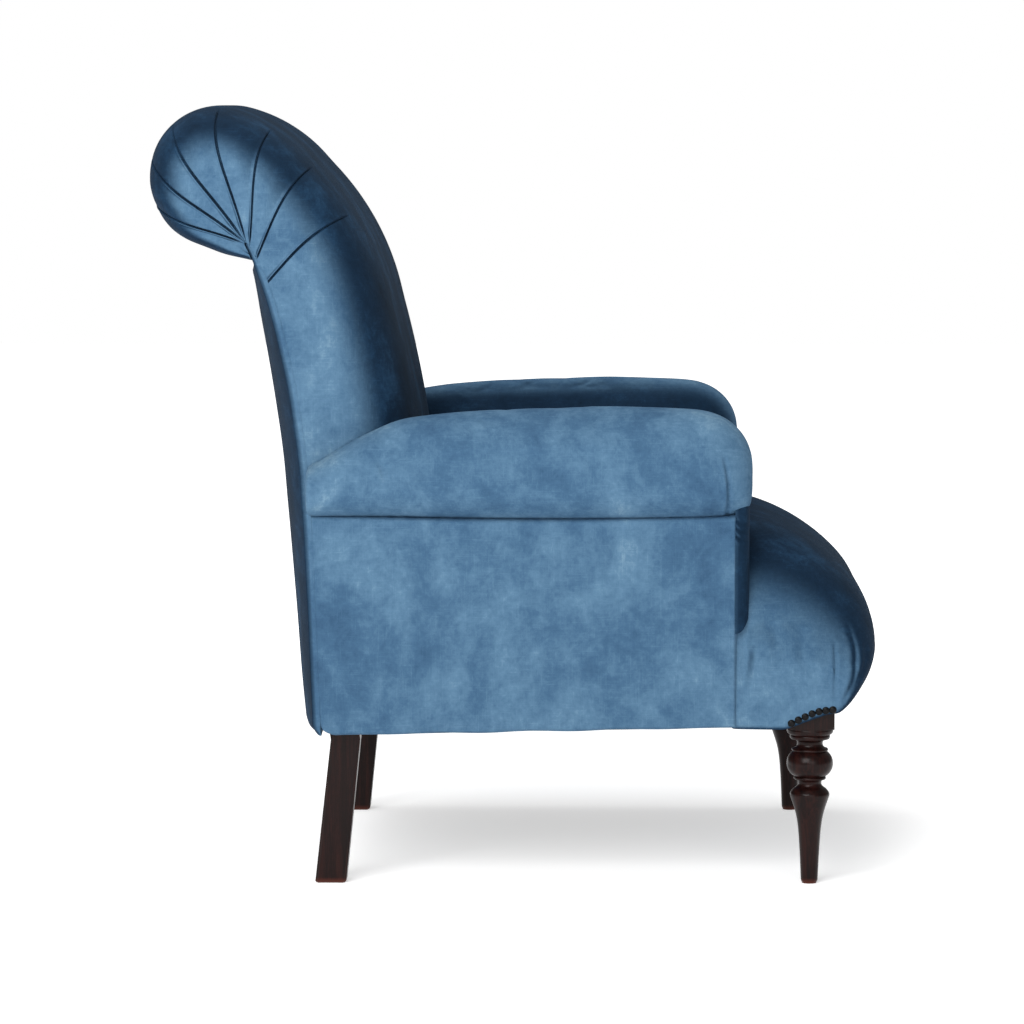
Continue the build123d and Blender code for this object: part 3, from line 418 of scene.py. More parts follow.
# %% Planed beech
def bare_beech():
    """Planed beech: pale pink-brown with fine darker rays."""
    made, tree, surface, place = new_material("beech_planed_bare", Roughness=0.62, IOR=1.5)
    along = add(tree, "ShaderNodeMapping", {"Vector": place, "Scale": (30.0, 90.0, 90.0)}).outputs["Vector"]
    grain = add(tree, "ShaderNodeTexNoise", {"Vector": along, "Scale": 1.0, "Detail": 6.0,
                                             "Distortion": 1.2}).outputs["Fac"]
    coloured(tree, surface, grain, ((0.35, "#b98f68"), (0.55, "#d0a980"), (0.75, "#dcbb95")), 0.15, 0.0005)
    return made


# %% Wire, screws and nails
def metal(name, dark, light, roughness, metallic, size_mm):
    """A metal or painted metal whose colour and gloss drift over patches of the given size."""
    made, tree, surface, place = new_material(name, Metallic=metallic, Specular_IOR_Level=0.12)
    drift = add(tree, "ShaderNodeTexNoise", {"Vector": place, "Scale": MM / size_mm,
                                             "Detail": 4.0}).outputs["Fac"]
    tint = add(tree, "ShaderNodeValToRGB", {"Fac": drift},
               stops=((0.35, dark), (0.68, light))).outputs["Color"]
    gloss = add(tree, "ShaderNodeMapRange", {"Value": drift, "To Min": roughness - 0.08,
                                             "To Max": roughness + 0.12}).outputs["Result"]
    tree.links.new(tint, surface.inputs["Base Color"])
    tree.links.new(gloss, surface.inputs["Roughness"])
    return made


# %% Jute, hessian and lining
def plain_weave(name, dark, light, pitch_mm, roughness, lift_mm):
    """A plain weave: two sets of threads crossing over and under, at the given spacing."""
    made, tree, surface, place = new_material(name, Roughness=roughness, Sheen_Weight=0.1)
    turns = math.pi * MM / pitch_mm
    axes = add(tree, "ShaderNodeVectorMath", {0: place, 1: (turns, turns, turns)}, operation="MULTIPLY")
    axes = add(tree, "ShaderNodeSeparateXYZ", {"Vector": axes.outputs[0]})
    up = add(tree, "ShaderNodeMath", {0: axes.outputs["Y"], 1: axes.outputs["Z"]}, operation="ADD").outputs[0]
    across = add(tree, "ShaderNodeMath", {0: axes.outputs["X"]}, operation="SINE").outputs[0]
    along = add(tree, "ShaderNodeMath", {0: up}, operation="SINE").outputs[0]
    crossing = add(tree, "ShaderNodeMath", {0: across, 1: along}, operation="MULTIPLY").outputs[0]
    fibre = add(tree, "ShaderNodeTexNoise", {"Vector": place, "Scale": 900.0, "Detail": 3.0}).outputs["Fac"]
    cloth = add(tree, "ShaderNodeMath", {0: crossing, 1: 0.35, 2: fibre}, operation="MULTIPLY_ADD").outputs[0]
    coloured(tree, surface, cloth, ((0.2, dark), (0.8, light)), 0.6, lift_mm / MM)
    return made


# %% Foam and board
def open_cells(name, dark, light, cell_mm, roughness):
    """A body of small cells or pressed fibres of the given size."""
    made, tree, surface, place = new_material(name, Roughness=roughness)
    cells = add(tree, "ShaderNodeTexVoronoi", {"Vector": place, "Scale": MM / cell_mm}).outputs["Distance"]
    coloured(tree, surface, cells, ((0.1, dark), (0.7, light)), 0.4, cell_mm / MM)
    return made


# %% [markdown]
# Each CAD node names a material slot in the record, so one table from slot to material dresses them all.

# %% Dress the CAD nodes
finishes = {
    "blue_velvet": velvet,
    "stained_beech": stained,
    "raw_beech": bare_beech(),
    "nail_metal": metal("steel_nail_black_enamel", "#040506", "#0c0d10", 0.34, 0.0, 3.0),
    "spring_steel": metal("steel_wire_drawn_oiled", "#3c3c3e", "#6d6d70", 0.38, 1.0, 6.0),
    "zinc_steel": metal("steel_screw_zinc_plated", "#a9a593", "#cbc8ba", 0.32, 1.0, 4.0),
    "jute_webbing": plain_weave("jute_webbing_woven", "#7d6238", "#b59a68", 2.4, 0.92, 0.5),
    "hessian": plain_weave("jute_hessian_open_weave", "#8a6f45", "#c2a97c", 1.8, 0.94, 0.4),
    "millboard": open_cells("millboard_pressed", "#6f5d49", "#94806a", 2.2, 0.85),
    "foam": open_cells("polyurethane_foam_cut", "#d8cfa6", "#efe8cb", 1.6, 0.95),
    "black_cambric": plain_weave("cambric_lining_black", "#0b0b0c", "#1c1c1e", 1.2, 0.9, 0.2),
}
slot_of = {row["node"]: row["material_slot"] for row in frame["record"]["subparts"]}
for node_name, node_object in frame["nodes"].items():
    node_object.data.materials.clear()
    node_object.data.materials.append(finishes[slot_of[node_name]])
print("dressed", len(frame["nodes"]), "CAD nodes with", len(finishes), "finishes")


# %% Finish a cover
def painted_shade_dirs_of(piece):
    """The direction of a form's painted shade: each face's own direction without its sideways part, so all
    faces but those that look sideways are painted darker.
    """
    shade_dir_values = normals_of(piece) * (0.0, 1.0, 1.0)
    return shade_dir_values / np.maximum(np.linalg.norm(shade_dir_values, axis=1), 1e-6)[:, None]


def cover(piece, *nodes, fill=0.8, slot="blue_velvet", nap=(0.0, 0.0, 0.0)):
    """Dresses a soft piece, lets it ride on the chair, and hides the CAD nodes it stands for."""
    piece.data.materials.clear()
    piece.data.materials.append(finishes[slot])
    # Writes the direction along which the velvet's painted shade falls; a zero direction paints no shade.
    shade_dir_values = piece.data.attributes.new("nap", "FLOAT_VECTOR", "POINT")
    directions = np.broadcast_to(nap, (len(piece.data.vertices), 3)).astype(np.float32)
    shade_dir_values.data.foreach_set("vector", directions.ravel())
    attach(piece, "root")
    if nodes:
        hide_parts(*nodes)
    points = points_of(piece)
    print(piece.name, "from", points.min(0).round().tolist(), "to", points.max(0).round().tolist(),
          len(points), "points")


def cover_pair(right, nodes, fill, nap=(0.0, 0.0, 0.0)):
    """Dresses a piece of the chair's right side and a mirrored copy of it on the left."""
    left = mirrored(right, right.name.replace("right", "left"))
    cover(right, *[node + "_right" for node in nodes], fill=fill, nap=nap)
    cover(left, *[node + "_left" for node in nodes], fill=fill, nap=(-nap[0], nap[1], nap[2]))


# %% [markdown]
# ## The inside back and its scroll
#
# One length of velvet runs up the front of the back, over the scroll and under it to the neck. Its sides
# are pulled round and gathered to one point at the top of each rear seam, which makes the fan of pleats. So
# the form is drawn as a fan too: the front line in side view is the rim, the rear seam is the hub, and each
# row of the mesh runs from the hub on one side, forward and across the rim, to the hub on the other side.

# %% Rim and hub in side view
SEAM_FOOT = (247.0, 330.0)
NECK = (322.0, 760.0)
scroll_rear = (457.0, 866.0)
scroll_under = (404.0, 784.0)
crest = (370.0, SCROLL_TOP)

rim = np.concatenate([
    [(112.0, 330.0), (112.0, 385.0)],
    arc((112.0, 440.0), (128.0, 566.0), (158.0, 702.0)),
    arc((158.0, 702.0), (196.0, 804.0), (253.0, 879.0))[1:],
    arc((253.0, 879.0), (307.0, 926.0), crest)[1:],
    arc(crest, (446.0, 908.0), scroll_rear)[1:],
    arc(scroll_rear, (443.0, 818.0), scroll_under)[1:],
    [(362.0, 768.0), NECK],
])
rim = smoothed(resample(rim, np.linspace(0, lengths_along(rim)[-1], 421)), 9)
rim_length = lengths_along(rim)


def along_rim(point):
    """Distance along the rim to its point nearest the given one."""
    return rim_length[np.argmin(np.linalg.norm(rim - np.array(point), axis=1))]


# Where the row that reaches each rim point starts from on the seam.
fan = (
    ((112.0, 330.0), SEAM_FOOT),
    ((112.0, 440.0), (253.0, 446.0)),
    ((128.0, 566.0), (265.0, 556.0)),
    ((143.0, 640.0), (276.0, 625.0)),
    ((158.0, 702.0), (287.0, 675.0)),
    ((180.0, 765.0), (295.0, 706.0)),
    ((206.0, 821.0), (304.0, 735.0)),
    ((250.0, 877.0), (316.0, 764.0)),
    ((297.0, 920.0), (325.0, 782.0)),
    (crest, (329.0, 784.0)),
    (scroll_rear, (331.0, 785.0)),
    (scroll_under, (331.0, 781.0)),
    (NECK, (326.0, 772.0)),
)
fan_spots = [along_rim(end) for end, start in fan]
fan_starts = np.array([start for end, start in fan])
hub = np.column_stack([np.interp(rim_length, fan_spots, fan_starts[:, axis]) for axis in (0, 1)])
hub = smoothed(hub, 31)
print("rim", round(rim_length[-1]), "mm long")


# %% [markdown]
# Across the chair each row is a rounded D, flat over most of the width, with full shoulders. A superellipse
# gives that shape from two exponents. Its points lie closer together on the pleated sides.

# %% The rounded D of each row
SHOULDER_DEPTH = 3.4
SHOULDER_WIDTH = 5.8
SCROLL_SHOULDER = 5.2
SIDE_FROM = 0.86
SIDE_SHARE = 0.66
ACROSS = 270


def rounded_d(count, half, reach):
    """Width from 1 to -1 and depth from 0 to 1 to 0 along a D, with most points on its two sides."""
    angle = np.linspace(0, math.pi, 6001)
    width = softened(np.cos(angle), 2 / SHOULDER_WIDTH)
    depth = np.sin(angle) ** (2 / SHOULDER_DEPTH)
    outline = np.column_stack([width * half, depth * reach])
    spots = lengths_along(outline)
    weight = np.where(np.abs(width) > SIDE_FROM, SIDE_SHARE, 1 - SIDE_SHARE)
    pace = np.concatenate([[0], np.cumsum(np.diff(spots) * weight[1:])])
    even = np.interp(np.linspace(0, pace[-1], count), pace, np.arange(len(pace)))
    return np.interp(even, np.arange(len(width)), width), np.interp(even, np.arange(len(depth)), depth)


wide, deep = rounded_d(ACROSS, BACK_HALF, 140.0)

# %% [markdown]
# Each pleat is a row of the mesh, and the rows crowd together near it, so that its fold comes out thin and
# clean. The rows bow a little between the gathering point and the rim.

# %% Rows of the back
PLEAT_AT = np.array([500.0, 576.0, 645.0, 715.0, 778.0, 830.0, 887.0])
ROW_GAP = 3.6
FOLD_GAP = 0.4
FOLD_REACH = 4.0
PLEAT_BOW = 15.0
FAN_BEFORE = 110.0
FAN_AFTER = 90.0

fine = np.linspace(0, rim_length[-1], 8001)
crowding = 1 / ROW_GAP + (1 / FOLD_GAP) * np.exp(-(((fine[:, None] - PLEAT_AT) / FOLD_REACH) ** 2)).sum(1)
row_count = np.concatenate([[0], np.cumsum(crowding[1:] * np.diff(fine))])
ROWS = int(row_count[-1])
row_at = np.interp(np.linspace(0, row_count[-1], ROWS), row_count, fine)
in_fan = smoothstep(row_at, PLEAT_AT[0] - FAN_BEFORE, PLEAT_AT[0])
in_fan = in_fan * (1 - smoothstep(row_at, PLEAT_AT[-1], PLEAT_AT[-1] + FAN_AFTER))
bow = PLEAT_BOW * np.sin(math.pi * (0.12 + 0.85 * deep))
spots = row_at[:, None] + in_fan[:, None] * bow[None, :]
rim_at = np.stack([np.interp(spots, rim_length, rim[:, axis]) for axis in (0, 1)], axis=2)
hub_at = np.stack([np.interp(spots, rim_length, hub[:, axis]) for axis in (0, 1)], axis=2)
squareness = SHOULDER_DEPTH + (SCROLL_SHOULDER - SHOULDER_DEPTH) * smoothstep(row_at, 560.0, 760.0)
row_deep = deep[None, :] ** (SHOULDER_DEPTH / squareness)[:, None]

# Below this side line the back stands between the arms.
ROLL_LINE_Y = (60.0, 112.0, 147.0, 201.0, 252.0, 300.0)
ROLL_LINE_Z = (ROLL_TOP, 575.0, 570.0, 546.0, 514.0, 484.0)
BETWEEN_ARMS = ROLL_IN - 1.0
SEAM_TUCK = 1.2

side_points = hub_at + (rim_at - hub_at) * row_deep[:, :, None]
half_width = BACK_HALF * np.abs(wide)[None, :] - SEAM_TUCK * np.exp(-((deep / 0.05) ** 2))[None, :]
above_roll = side_points[:, :, 1] - np.interp(side_points[:, :, 0], ROLL_LINE_Y, ROLL_LINE_Z)
room = BETWEEN_ARMS + (BACK_HALF - BETWEEN_ARMS) * smoothstep(above_roll, -15.0, -5.0)
half_width = np.minimum(half_width, room)
back_grid = np.concatenate([(np.sign(wide)[None, :] * half_width)[:, :, None], side_points], axis=2)
print("back grid", back_grid.shape)


# %% [markdown]
# Each pleat is folded over once, so it shows as a sharp valley with a fuller lip beside it, and the velvet
# between two pleats stands up a little. The valleys grow shallow and die out just before the rim.

# %% Pleats
PLEAT_DEPTH = 4.0
PLEAT_WIDTH = 0.85
LIP = 1.6
PUFF = 2.6
FULL_PITCH = 45.0

across_rows = np.gradient(back_grid, axis=0)
across_loop = np.gradient(back_grid, axis=1)
outward = np.cross(across_rows, across_loop)
outward /= np.maximum(np.linalg.norm(outward, axis=2), 1e-9)[:, :, None]
core = np.concatenate([np.zeros((ROWS, 1)), 0.6 * hub_at[:, 0] + 0.4 * rim_at[:, ACROSS // 2]], axis=1)
inside_out = np.sum(outward * (back_grid - core[:, None, :]), axis=2) < 0
outward[inside_out] *= -1

row_step = np.linalg.norm(np.diff(back_grid, axis=0), axis=2)
travelled = np.concatenate([np.zeros((1, ACROSS)), np.cumsum(row_step, axis=0)])
on_side = smoothstep(deep, 0.0, 0.05) * (1 - 0.5 * deep) * (1 - smoothstep(deep, 0.90, 0.975))
puffed = smoothstep(deep, 0.03, 0.30) * (1 - smoothstep(deep, 0.86, 1.0))
push = np.zeros(back_grid.shape[:2])
for column in np.flatnonzero(deep < 0.999):
    centres = np.interp(PLEAT_AT, row_at, travelled[:, column])
    gaps = travelled[:, column][:, None] - centres[None, :]
    gap = gaps[np.arange(ROWS), np.argmin(np.abs(gaps), axis=1)]
    pitch = np.diff(centres).mean()
    valley = -PLEAT_DEPTH * np.exp(-((gap / PLEAT_WIDTH) ** 2))
    lip = LIP * np.exp(-(((gap - 2.2) / 1.8) ** 2))
    middle = np.sqrt(np.clip(2 * np.abs(gap) / pitch, 0, 1)) * min(pitch / FULL_PITCH, 1.0)
    push[:, column] = on_side[column] * (valley + lip) + puffed[column] * PUFF * middle * in_fan
back_grid = back_grid + outward * push[:, :, None]
inside_back = loft("inside_back_velvet", back_grid, sharp_angle=75)
# Painted shade on the inside back's faces that look forward or up.
cover(inside_back, "back_cover", "back_foam", fill=0.9, nap=painted_shade_dirs_of(inside_back))


# %% [markdown]
# ## The outside back
#
# A single panel from the neck to the foot, tacked along both rear edges. Wadding under it makes it belly
# out to the rear between the edges. It is widest at the arms, whose rear ends it also closes.

# %% Outside back panel
SEAM_Z = np.array([186.0, 320.0, 452.0, 530.0, 610.0, 690.0, 735.0, 766.0, 784.0])
SEAM_Y = np.array([242.5, 247.0, 253.0, 260.5, 272.0, 290.5, 304.5, 317.5, 327.0])
BELLY_Z = np.array([186.0, 240.0, 452.0, 610.0, 700.0, 764.0])
BELLY = np.array([22.0, 27.0, 36.0, 37.0, 31.0, 16.0])
EDGE_THICK = 5.0
SEAM_LAP = 3.0
EDGE_SHARE = 0.012
NECK_INSET = 3.0
panel_rows = np.linspace(outside_low[2], SEAM_Z[-1] - 1.0, 154)
seam_y = smoothed(np.interp(panel_rows, SEAM_Z, SEAM_Y)[:, None], 15)[:, 0]
belly = smoothed(np.interp(panel_rows, BELLY_Z, BELLY)[:, None], 15)[:, 0]
lower_half = outside_high[0] + 1.0
panel_half = BACK_HALF + (lower_half - BACK_HALF) * (1 - smoothstep(panel_rows, 452.0, 512.0))
panel_half = panel_half - NECK_INSET * smoothstep(panel_rows, 748.0, 768.0)

u = np.sin(np.linspace(-math.pi / 2, math.pi / 2, 121))
swell = (1 - np.abs(u) ** 2.6) ** 0.8
edge = np.minimum(1.0, np.sqrt(np.clip((1 - np.abs(u)) / EDGE_SHARE, 0, 1)))
rows = []
for z, y, depth, half in zip(panel_rows, seam_y, belly, panel_half):
    top_in = smoothstep(z, 745.0, 766.0)
    foot_in = 1 - smoothstep(z, 186.0, 196.0)
    thick = EDGE_THICK * (1 - 0.6 * foot_in)
    rear_y = y + thick * edge + depth * swell * (1 - 0.8 * top_in) - 4 * foot_in
    rear = np.column_stack([u * half, rear_y, np.full(len(u), z)])
    front = np.column_stack([u[::-1] * (half - 0.5), np.full(len(u), y - SEAM_LAP), np.full(len(u), z)])
    rows.append(np.concatenate([rear, front]))
outside_back = loft("outside_back_velvet", rows, sharp_angle=75)
# Painted shade on the outside back's rear-facing faces.
cover(outside_back, "outside_back", fill=0.5, nap=(0.0, 0.9, 0.0))


# %% [markdown]
# ## Stuffed forms by simulation
#
# The arms and the seat are stuffed, so their covers should look blown out from within. Each form is joined
# into one skin by a voxel remesh, given cloth with a little air pressure and no gravity, stepped for twenty
# frames, and stopped where it has moved as far as the stuffing would let it. Creases come after it.

# %% Joining and blowing up a form
VOXEL_MM = 5.0
FRAMES = 20
PRESSURE = 4.0
SWELL_MM = 4.0


def joined(name, *pieces):
    """One object from several closed meshes that overlap, with a single skin."""
    work = bmesh.new()
    for piece in pieces:
        work.from_mesh(piece.data)
    mesh = bpy.data.meshes.new(name)
    work.to_mesh(mesh)
    work.free()
    for piece in pieces:
        bpy.data.objects.remove(piece)
    whole = placed(name, mesh)
    remesh = whole.modifiers.new("skin", "REMESH")
    remesh.mode = "VOXEL"
    remesh.voxel_size = VOXEL_MM / MM
    bake_modifiers(whole)
    return whole


def bake_modifiers(piece):
    """Replaces a piece's mesh by what its modifiers make of it."""
    graph = bpy.context.evaluated_depsgraph_get()
    made = bpy.data.meshes.new_from_object(piece.evaluated_get(graph))
    piece.modifiers.clear()
    old = piece.data
    piece.data = made
    bpy.data.meshes.remove(old)


def eased(piece, times):
    """Relaxes the skin so that voxel steps vanish."""
    relax = piece.modifiers.new("relax", "SMOOTH")
    relax.factor = 0.5
    relax.iterations = times
    bake_modifiers(piece)


def blown_up(piece, held):
    """Swells a closed skin as cloth, by up to SWELL_MM where held is 0 and not at all where it is 1."""
    rest = points_of(piece)
    cloth = piece.modifiers.new("cloth", "CLOTH")
    cloth.settings.use_pressure = True
    cloth.settings.uniform_pressure_force = PRESSURE
    cloth.settings.effector_weights.gravity = 0.0
    cloth.settings.quality = 4
    scene = bpy.context.scene
    for number in range(1, FRAMES + 1):
        scene.frame_set(number)
    graph = bpy.context.evaluated_depsgraph_get()
    swollen = np.zeros(len(rest) * 3)
    piece.evaluated_get(graph).data.vertices.foreach_get("co", swollen)
    move = swollen.reshape(-1, 3) * MM - rest
    size = np.linalg.norm(move, axis=1)
    print(piece.name, "moved up to", round(size.max(), 1), "mm, mean", round(size.mean(), 1), "mm")
    limit = SWELL_MM * (1 - held)
    move *= (np.minimum(size, limit) / np.maximum(size, 1e-6))[:, None]
    piece.modifiers.clear()
    scene.frame_set(1)
    put_points(piece, rest + move)


def finer(piece):
    """Splits every face in four and rounds the result."""
    finer_mesh = piece.modifiers.new("finer", "SUBSURF")
    finer_mesh.levels = finer_mesh.render_levels = 1
    bake_modifiers(piece)
    piece.data.polygons.foreach_set("use_smooth", [True] * len(piece.data.polygons))


# %% [markdown]
# ## The arms
#
# Each arm is a stuffed roll on a rail, with a lining that runs down inside the arm to the seat. The roll's
# front end is full and round, its underside is pulled in over the outside panel, and its rear sinks under
# the back.

# %% Roll and lining
ROLL_FRONT = arm_low[1] - 3.0
ROLL_FLAT_END = -214.0
ROLL_REAR = 256.0
ROLL_UNDER = 449.0
LINING_IN = facing_low[0]
LINING_OUT = 268.0
LINING_SPAN_Y = (facing_high[1] - 2.0, 240.0)
LINING_SPAN_Z = (330.0, 500.0)
ROLL_SQUARE = 2.55
ROLL_MIDDLE = 511.0
ROLL_SAG = 4.0
CROWN_Y = (-250.0, -120.0, 20.0, 80.0, 112.0, 147.0, 201.0, 252.0)
CROWN_Z = (ROLL_TOP, ROLL_TOP + 1, ROLL_TOP - 3, ROLL_TOP - 6, 575.0, 569.0, 545.0, 514.0)


def roll_loop(y, top, bottom, shrink=1.0):
    """One cross-section of the roll, a full rounded square."""
    angle = np.linspace(0, 2 * math.pi, 96, endpoint=False)
    half = (ROLL_OUT - ROLL_IN) / 2 * shrink
    x = -(ROLL_IN + ROLL_OUT) / 2 + half * softened(np.cos(angle), 2 / ROLL_SQUARE)
    z = (top + bottom) / 2 + (top - bottom) / 2 * softened(np.sin(angle), 2 / ROLL_SQUARE)
    return np.column_stack([x, np.full(len(x), y), z])


def arm_roll():
    """The right arm's roll, from its rear end to its round front."""
    rows = []
    for y in np.linspace(ROLL_REAR, ROLL_FLAT_END, 110):
        sag = ROLL_SAG * math.cos((y + 60.0) / 320.0 * math.pi / 2) ** 2
        rows.append(roll_loop(y, np.interp(y, CROWN_Y, CROWN_Z), ROLL_UNDER - sag + 2.0))
    reach = ROLL_FLAT_END - ROLL_FRONT
    for turn in np.radians(np.linspace(6, 88, 22)):
        share = math.cos(turn)
        top = ROLL_MIDDLE + (ROLL_TOP - ROLL_MIDDLE) * share**0.92
        bottom = ROLL_MIDDLE - (ROLL_MIDDLE - ROLL_UNDER) * share**0.26
        rows.append(roll_loop(ROLL_FLAT_END - reach * math.sin(turn), top, bottom, share**0.58))
    rows = np.array(rows)
    for i in range(rows.shape[1]):
        rows[:, i, 2] = smoothed(rows[:, i, 2:], 7)[:, 0]
    return loft("roll", rows)


def slab(name, x_span, y_span, z_span, radius):
    """A closed block with rounded upright edges."""
    (left, right), (front, rear) = x_span, y_span
    centres = ((right - radius, rear - radius, 0), (left + radius, rear - radius, 90),
               (left + radius, front + radius, 180), (right - radius, front + radius, 270))
    outline = []
    for x, y, start in centres:
        for turn in np.radians(start + np.linspace(0, 90, 7)):
            outline.append((x + radius * math.cos(turn), y + radius * math.sin(turn)))
    return loft(name, [[(x, y, z) for x, y in outline] for z in np.linspace(*z_span, 30)])


lining = slab("lining", (-LINING_OUT, -LINING_IN), LINING_SPAN_Y, LINING_SPAN_Z, radius=8.0)
arm_right = joined("arm_velvet_right", arm_roll(), lining)
eased(arm_right, 6)
arm_points = points_of(arm_right)
arm_held = np.maximum.reduce([
    smoothstep(arm_points[:, 1], 60.0, 150.0),
    1 - smoothstep(arm_points[:, 2], ROLL_UNDER - 2, ROLL_UNDER + 26.0),
])
blown_up(arm_right, arm_held)
finer(arm_right)

# %% Creases of the arm
FRONT_TUCK = ((-249.0, 530.0), (-254.0, 500.0), (-255.0, 475.0), (-252.0, 450.0))
PULL_MARK = ((170.0, 524.0), (162.0, 514.0), (160.0, 498.0))
points, normals = points_of(arm_right), normals_of(arm_right)
outer_side = smoothstep(-points[:, 0], 300.0, 325.0)
points = crease(points, normals, FRONT_TUCK, 5.0, 1.7, where=outer_side)
points = crease(points, normals, PULL_MARK, 3.0, 3.2, where=outer_side)
put_points(arm_right, points)
# Painted shade on the arms' inner faces, which look towards the seat.
cover_pair(arm_right, ("arm_cover", "arm_pad"), fill=0.85, nap=(1.0, 0.0, 0.0))


# %% [markdown]
# ## Outside arm panels and front facings
#
# The outside of each arm is a flat panel over wadding, back-tacked under the roll and closed down both
# sides and along the bottom. Its top line sags a little under the roll. The facing is a narrow padded strip
# over the front of the arm's stump.

# %% A padded panel between four edges
PANEL_FRONT = panel_low[1]
PANEL_FACE = panel_high[0]
PANEL_THICK = 14.0
PANEL_CROWN = 2.5
PANEL_EDGE = 5.0
PANEL_COLUMNS = 150
PANEL_ROWS = 80


def padded_panel(name, heights, edges):
    """A panel on the chair's right side, between its heights for a share from front to rear and its front and
    rear edges for a share from bottom to top."""
    t = (1 - np.cos(np.linspace(0, math.pi, PANEL_COLUMNS))) / 2
    bottom, top = heights(t)
    grid = []
    for share in (1 - np.cos(np.linspace(0, math.pi, PANEL_ROWS))) / 2:
        front, rear = edges(share)
        from_edge = np.minimum.reduce([(1 - share) * (top - bottom), share * (top - bottom),
                                       t * (rear - front), (1 - t) * (rear - front)])
        lift = np.sqrt(np.clip(1 - (1 - np.clip(from_edge / PANEL_EDGE, 0, 1)) ** 2, 0, 1))
        belly = (16 * t * (1 - t) * share * (1 - share)) ** 0.5
        x = -(PANEL_FACE - PANEL_THICK + PANEL_THICK * lift + PANEL_CROWN * belly)
        grid.append(np.column_stack([x, front + (rear - front) * t, bottom + (top - bottom) * share]))
    grid = np.array(grid)
    inner = grid[:, ::-1].copy()
    inner[:, :, 0] = -(PANEL_FACE - PANEL_THICK)
    return loft(name, np.concatenate([grid, inner], axis=1), sharp_angle=50)


def panel_heights(t):
    """Bottom and top of the outside arm panel from its front edge (0) to its rear edge (1)."""
    rear_kick = 7.0 * np.clip((t - 0.965) / 0.035, 0, 1) ** 2
    ripple = 0.8 * np.sin(9 * math.pi * t) * t * (1 - t) * 4
    sag = 5.0 * np.sin(math.pi * np.clip(t, 0, 1)) ** 0.9
    return 196.0 - 11.0 * t + rear_kick + ripple, PANEL_TOP + 2.0 - sag


def panel_edges(share):
    """Front and rear edge of the outside arm panel at a share of its height."""
    rear = 242.5 + 11.0 * share - 5.0 * np.clip((0.05 - share) / 0.05, 0, 1) ** 2
    return PANEL_FRONT - 3.0, rear


panel_right = padded_panel("outside_arm_velvet_right", panel_heights, panel_edges)
points, normals = points_of(panel_right), normals_of(panel_right)
face = smoothstep(-points[:, 0], PANEL_FACE - 6.0, PANEL_FACE - 2.0)
TENSION_MARKS = (
    ((-60.0, 447.0), (-90.0, 432.0), (-150.0, 428.0), (-200.0, 434.0)),
    ((60.0, 441.0), (30.0, 428.0), (-20.0, 424.0), (-70.0, 430.0)),
    ((238.0, 300.0), (226.0, 260.0), (222.0, 215.0)),
    ((-20.0, 300.0), (-8.0, 268.0), (-30.0, 240.0)),
)
for mark in TENSION_MARKS:
    points = crease(points, normals, mark, 0.9, 9.0, where=face)
put_points(panel_right, points)
cover_pair(panel_right, ("outside_arm",), fill=0.4)

# %% Front facings
FACING_THICK = facing_high[1] - facing_low[1]
FOOT_RISE = 22.0
FOOT_END = 370.0


def facing(name):
    """The right arm's front facing: a narrow pad whose foot is rounded up."""
    rows = []
    middle = -(facing_low[0] + facing_high[0]) / 2
    half = (facing_high[0] - facing_low[0]) / 2
    for z in np.linspace(facing_low[2] - 4.0, facing_high[2] + 20.0, 70):
        angle = np.linspace(0, math.pi, 61)
        x = middle + half * softened(np.cos(angle), 0.5)
        y = facing_high[1] - (FACING_THICK + 1.5) * np.sin(angle) ** 0.85
        rise = FOOT_RISE * np.sin(angle) ** 2 * np.clip((FOOT_END - z) / (FOOT_END - facing_low[2]), 0, 1)
        front = np.column_stack([x, y, z + rise])
        rear = np.column_stack([x[::-1], np.full(61, facing_high[1] + 0.5), np.full(61, z)])
        rows.append(np.concatenate([front, rear]))
    return loft(name, rows, sharp_angle=70)


facing_right = facing("arm_facing_velvet_right")
points, normals = points_of(facing_right), normals_of(facing_right)
for drop in (0.0, 9.0, 19.0):
    fold = ((-262.0, 452.0 - drop), (-270.0, 446.0 - drop), (-281.0, 444.0 - drop))
    points = crease(points, normals, fold, 1.4, 1.8)
put_points(facing_right, points)
# Painted shade on the facings' faces that look forward and outward.
cover_pair(facing_right, ("arm_facing",), fill=0.5, nap=(-0.60, -0.80, 0.0))


# %% [markdown]
# ## The seat
#
# The seat is T-shaped: a full-width front that stands before the arms and a narrower part between them. It
# is drawn as the back is, as rows from the bottom edge of one side over the crown or nose to the other
# side. Both parts and a hem under the front rail are joined and blown up a little, and then the folds round
# the front corners are pressed in.

# %% Front of the seat
SEAT_JOIN = facing_high[1] + 6.0
SEAT_WIDE = SEAT_HALF + 6.0
SEAT_FOOT = 194.0
SEAT_EDGE = ((SEAT_JOIN, SEAT_FOOT), (-325.0, 193.0), (-384.0, 215.0), (-388.0, 217.0))
SEAT_ROWS = 150
nose = np.concatenate([
    [(SEAT_JOIN, SEAT_CROWN), (-284.0, SEAT_CROWN - 0.5)],
    arc((-300.0, 434.0), (-358.0, 408.0), (-410.0, 366.0)),
    arc((-410.0, 366.0), (-436.0, 326.0), (-445.0, 286.0))[1:],
    arc((-445.0, 286.0), (-427.0, 246.0), (-386.0, 206.0))[1:],
])
nose = smoothed(resample(nose, np.linspace(0, lengths_along(nose)[-1], SEAT_ROWS)), 7)
nose_length = lengths_along(nose)
nose_share = nose_length / nose_length[-1]
edge_line = np.array(SEAT_EDGE)
edge_length = lengths_along(edge_line)
edge_points = resample(edge_line, edge_length[-1] * smoothstep(nose_share, 0.0, 1.0) ** 0.8)


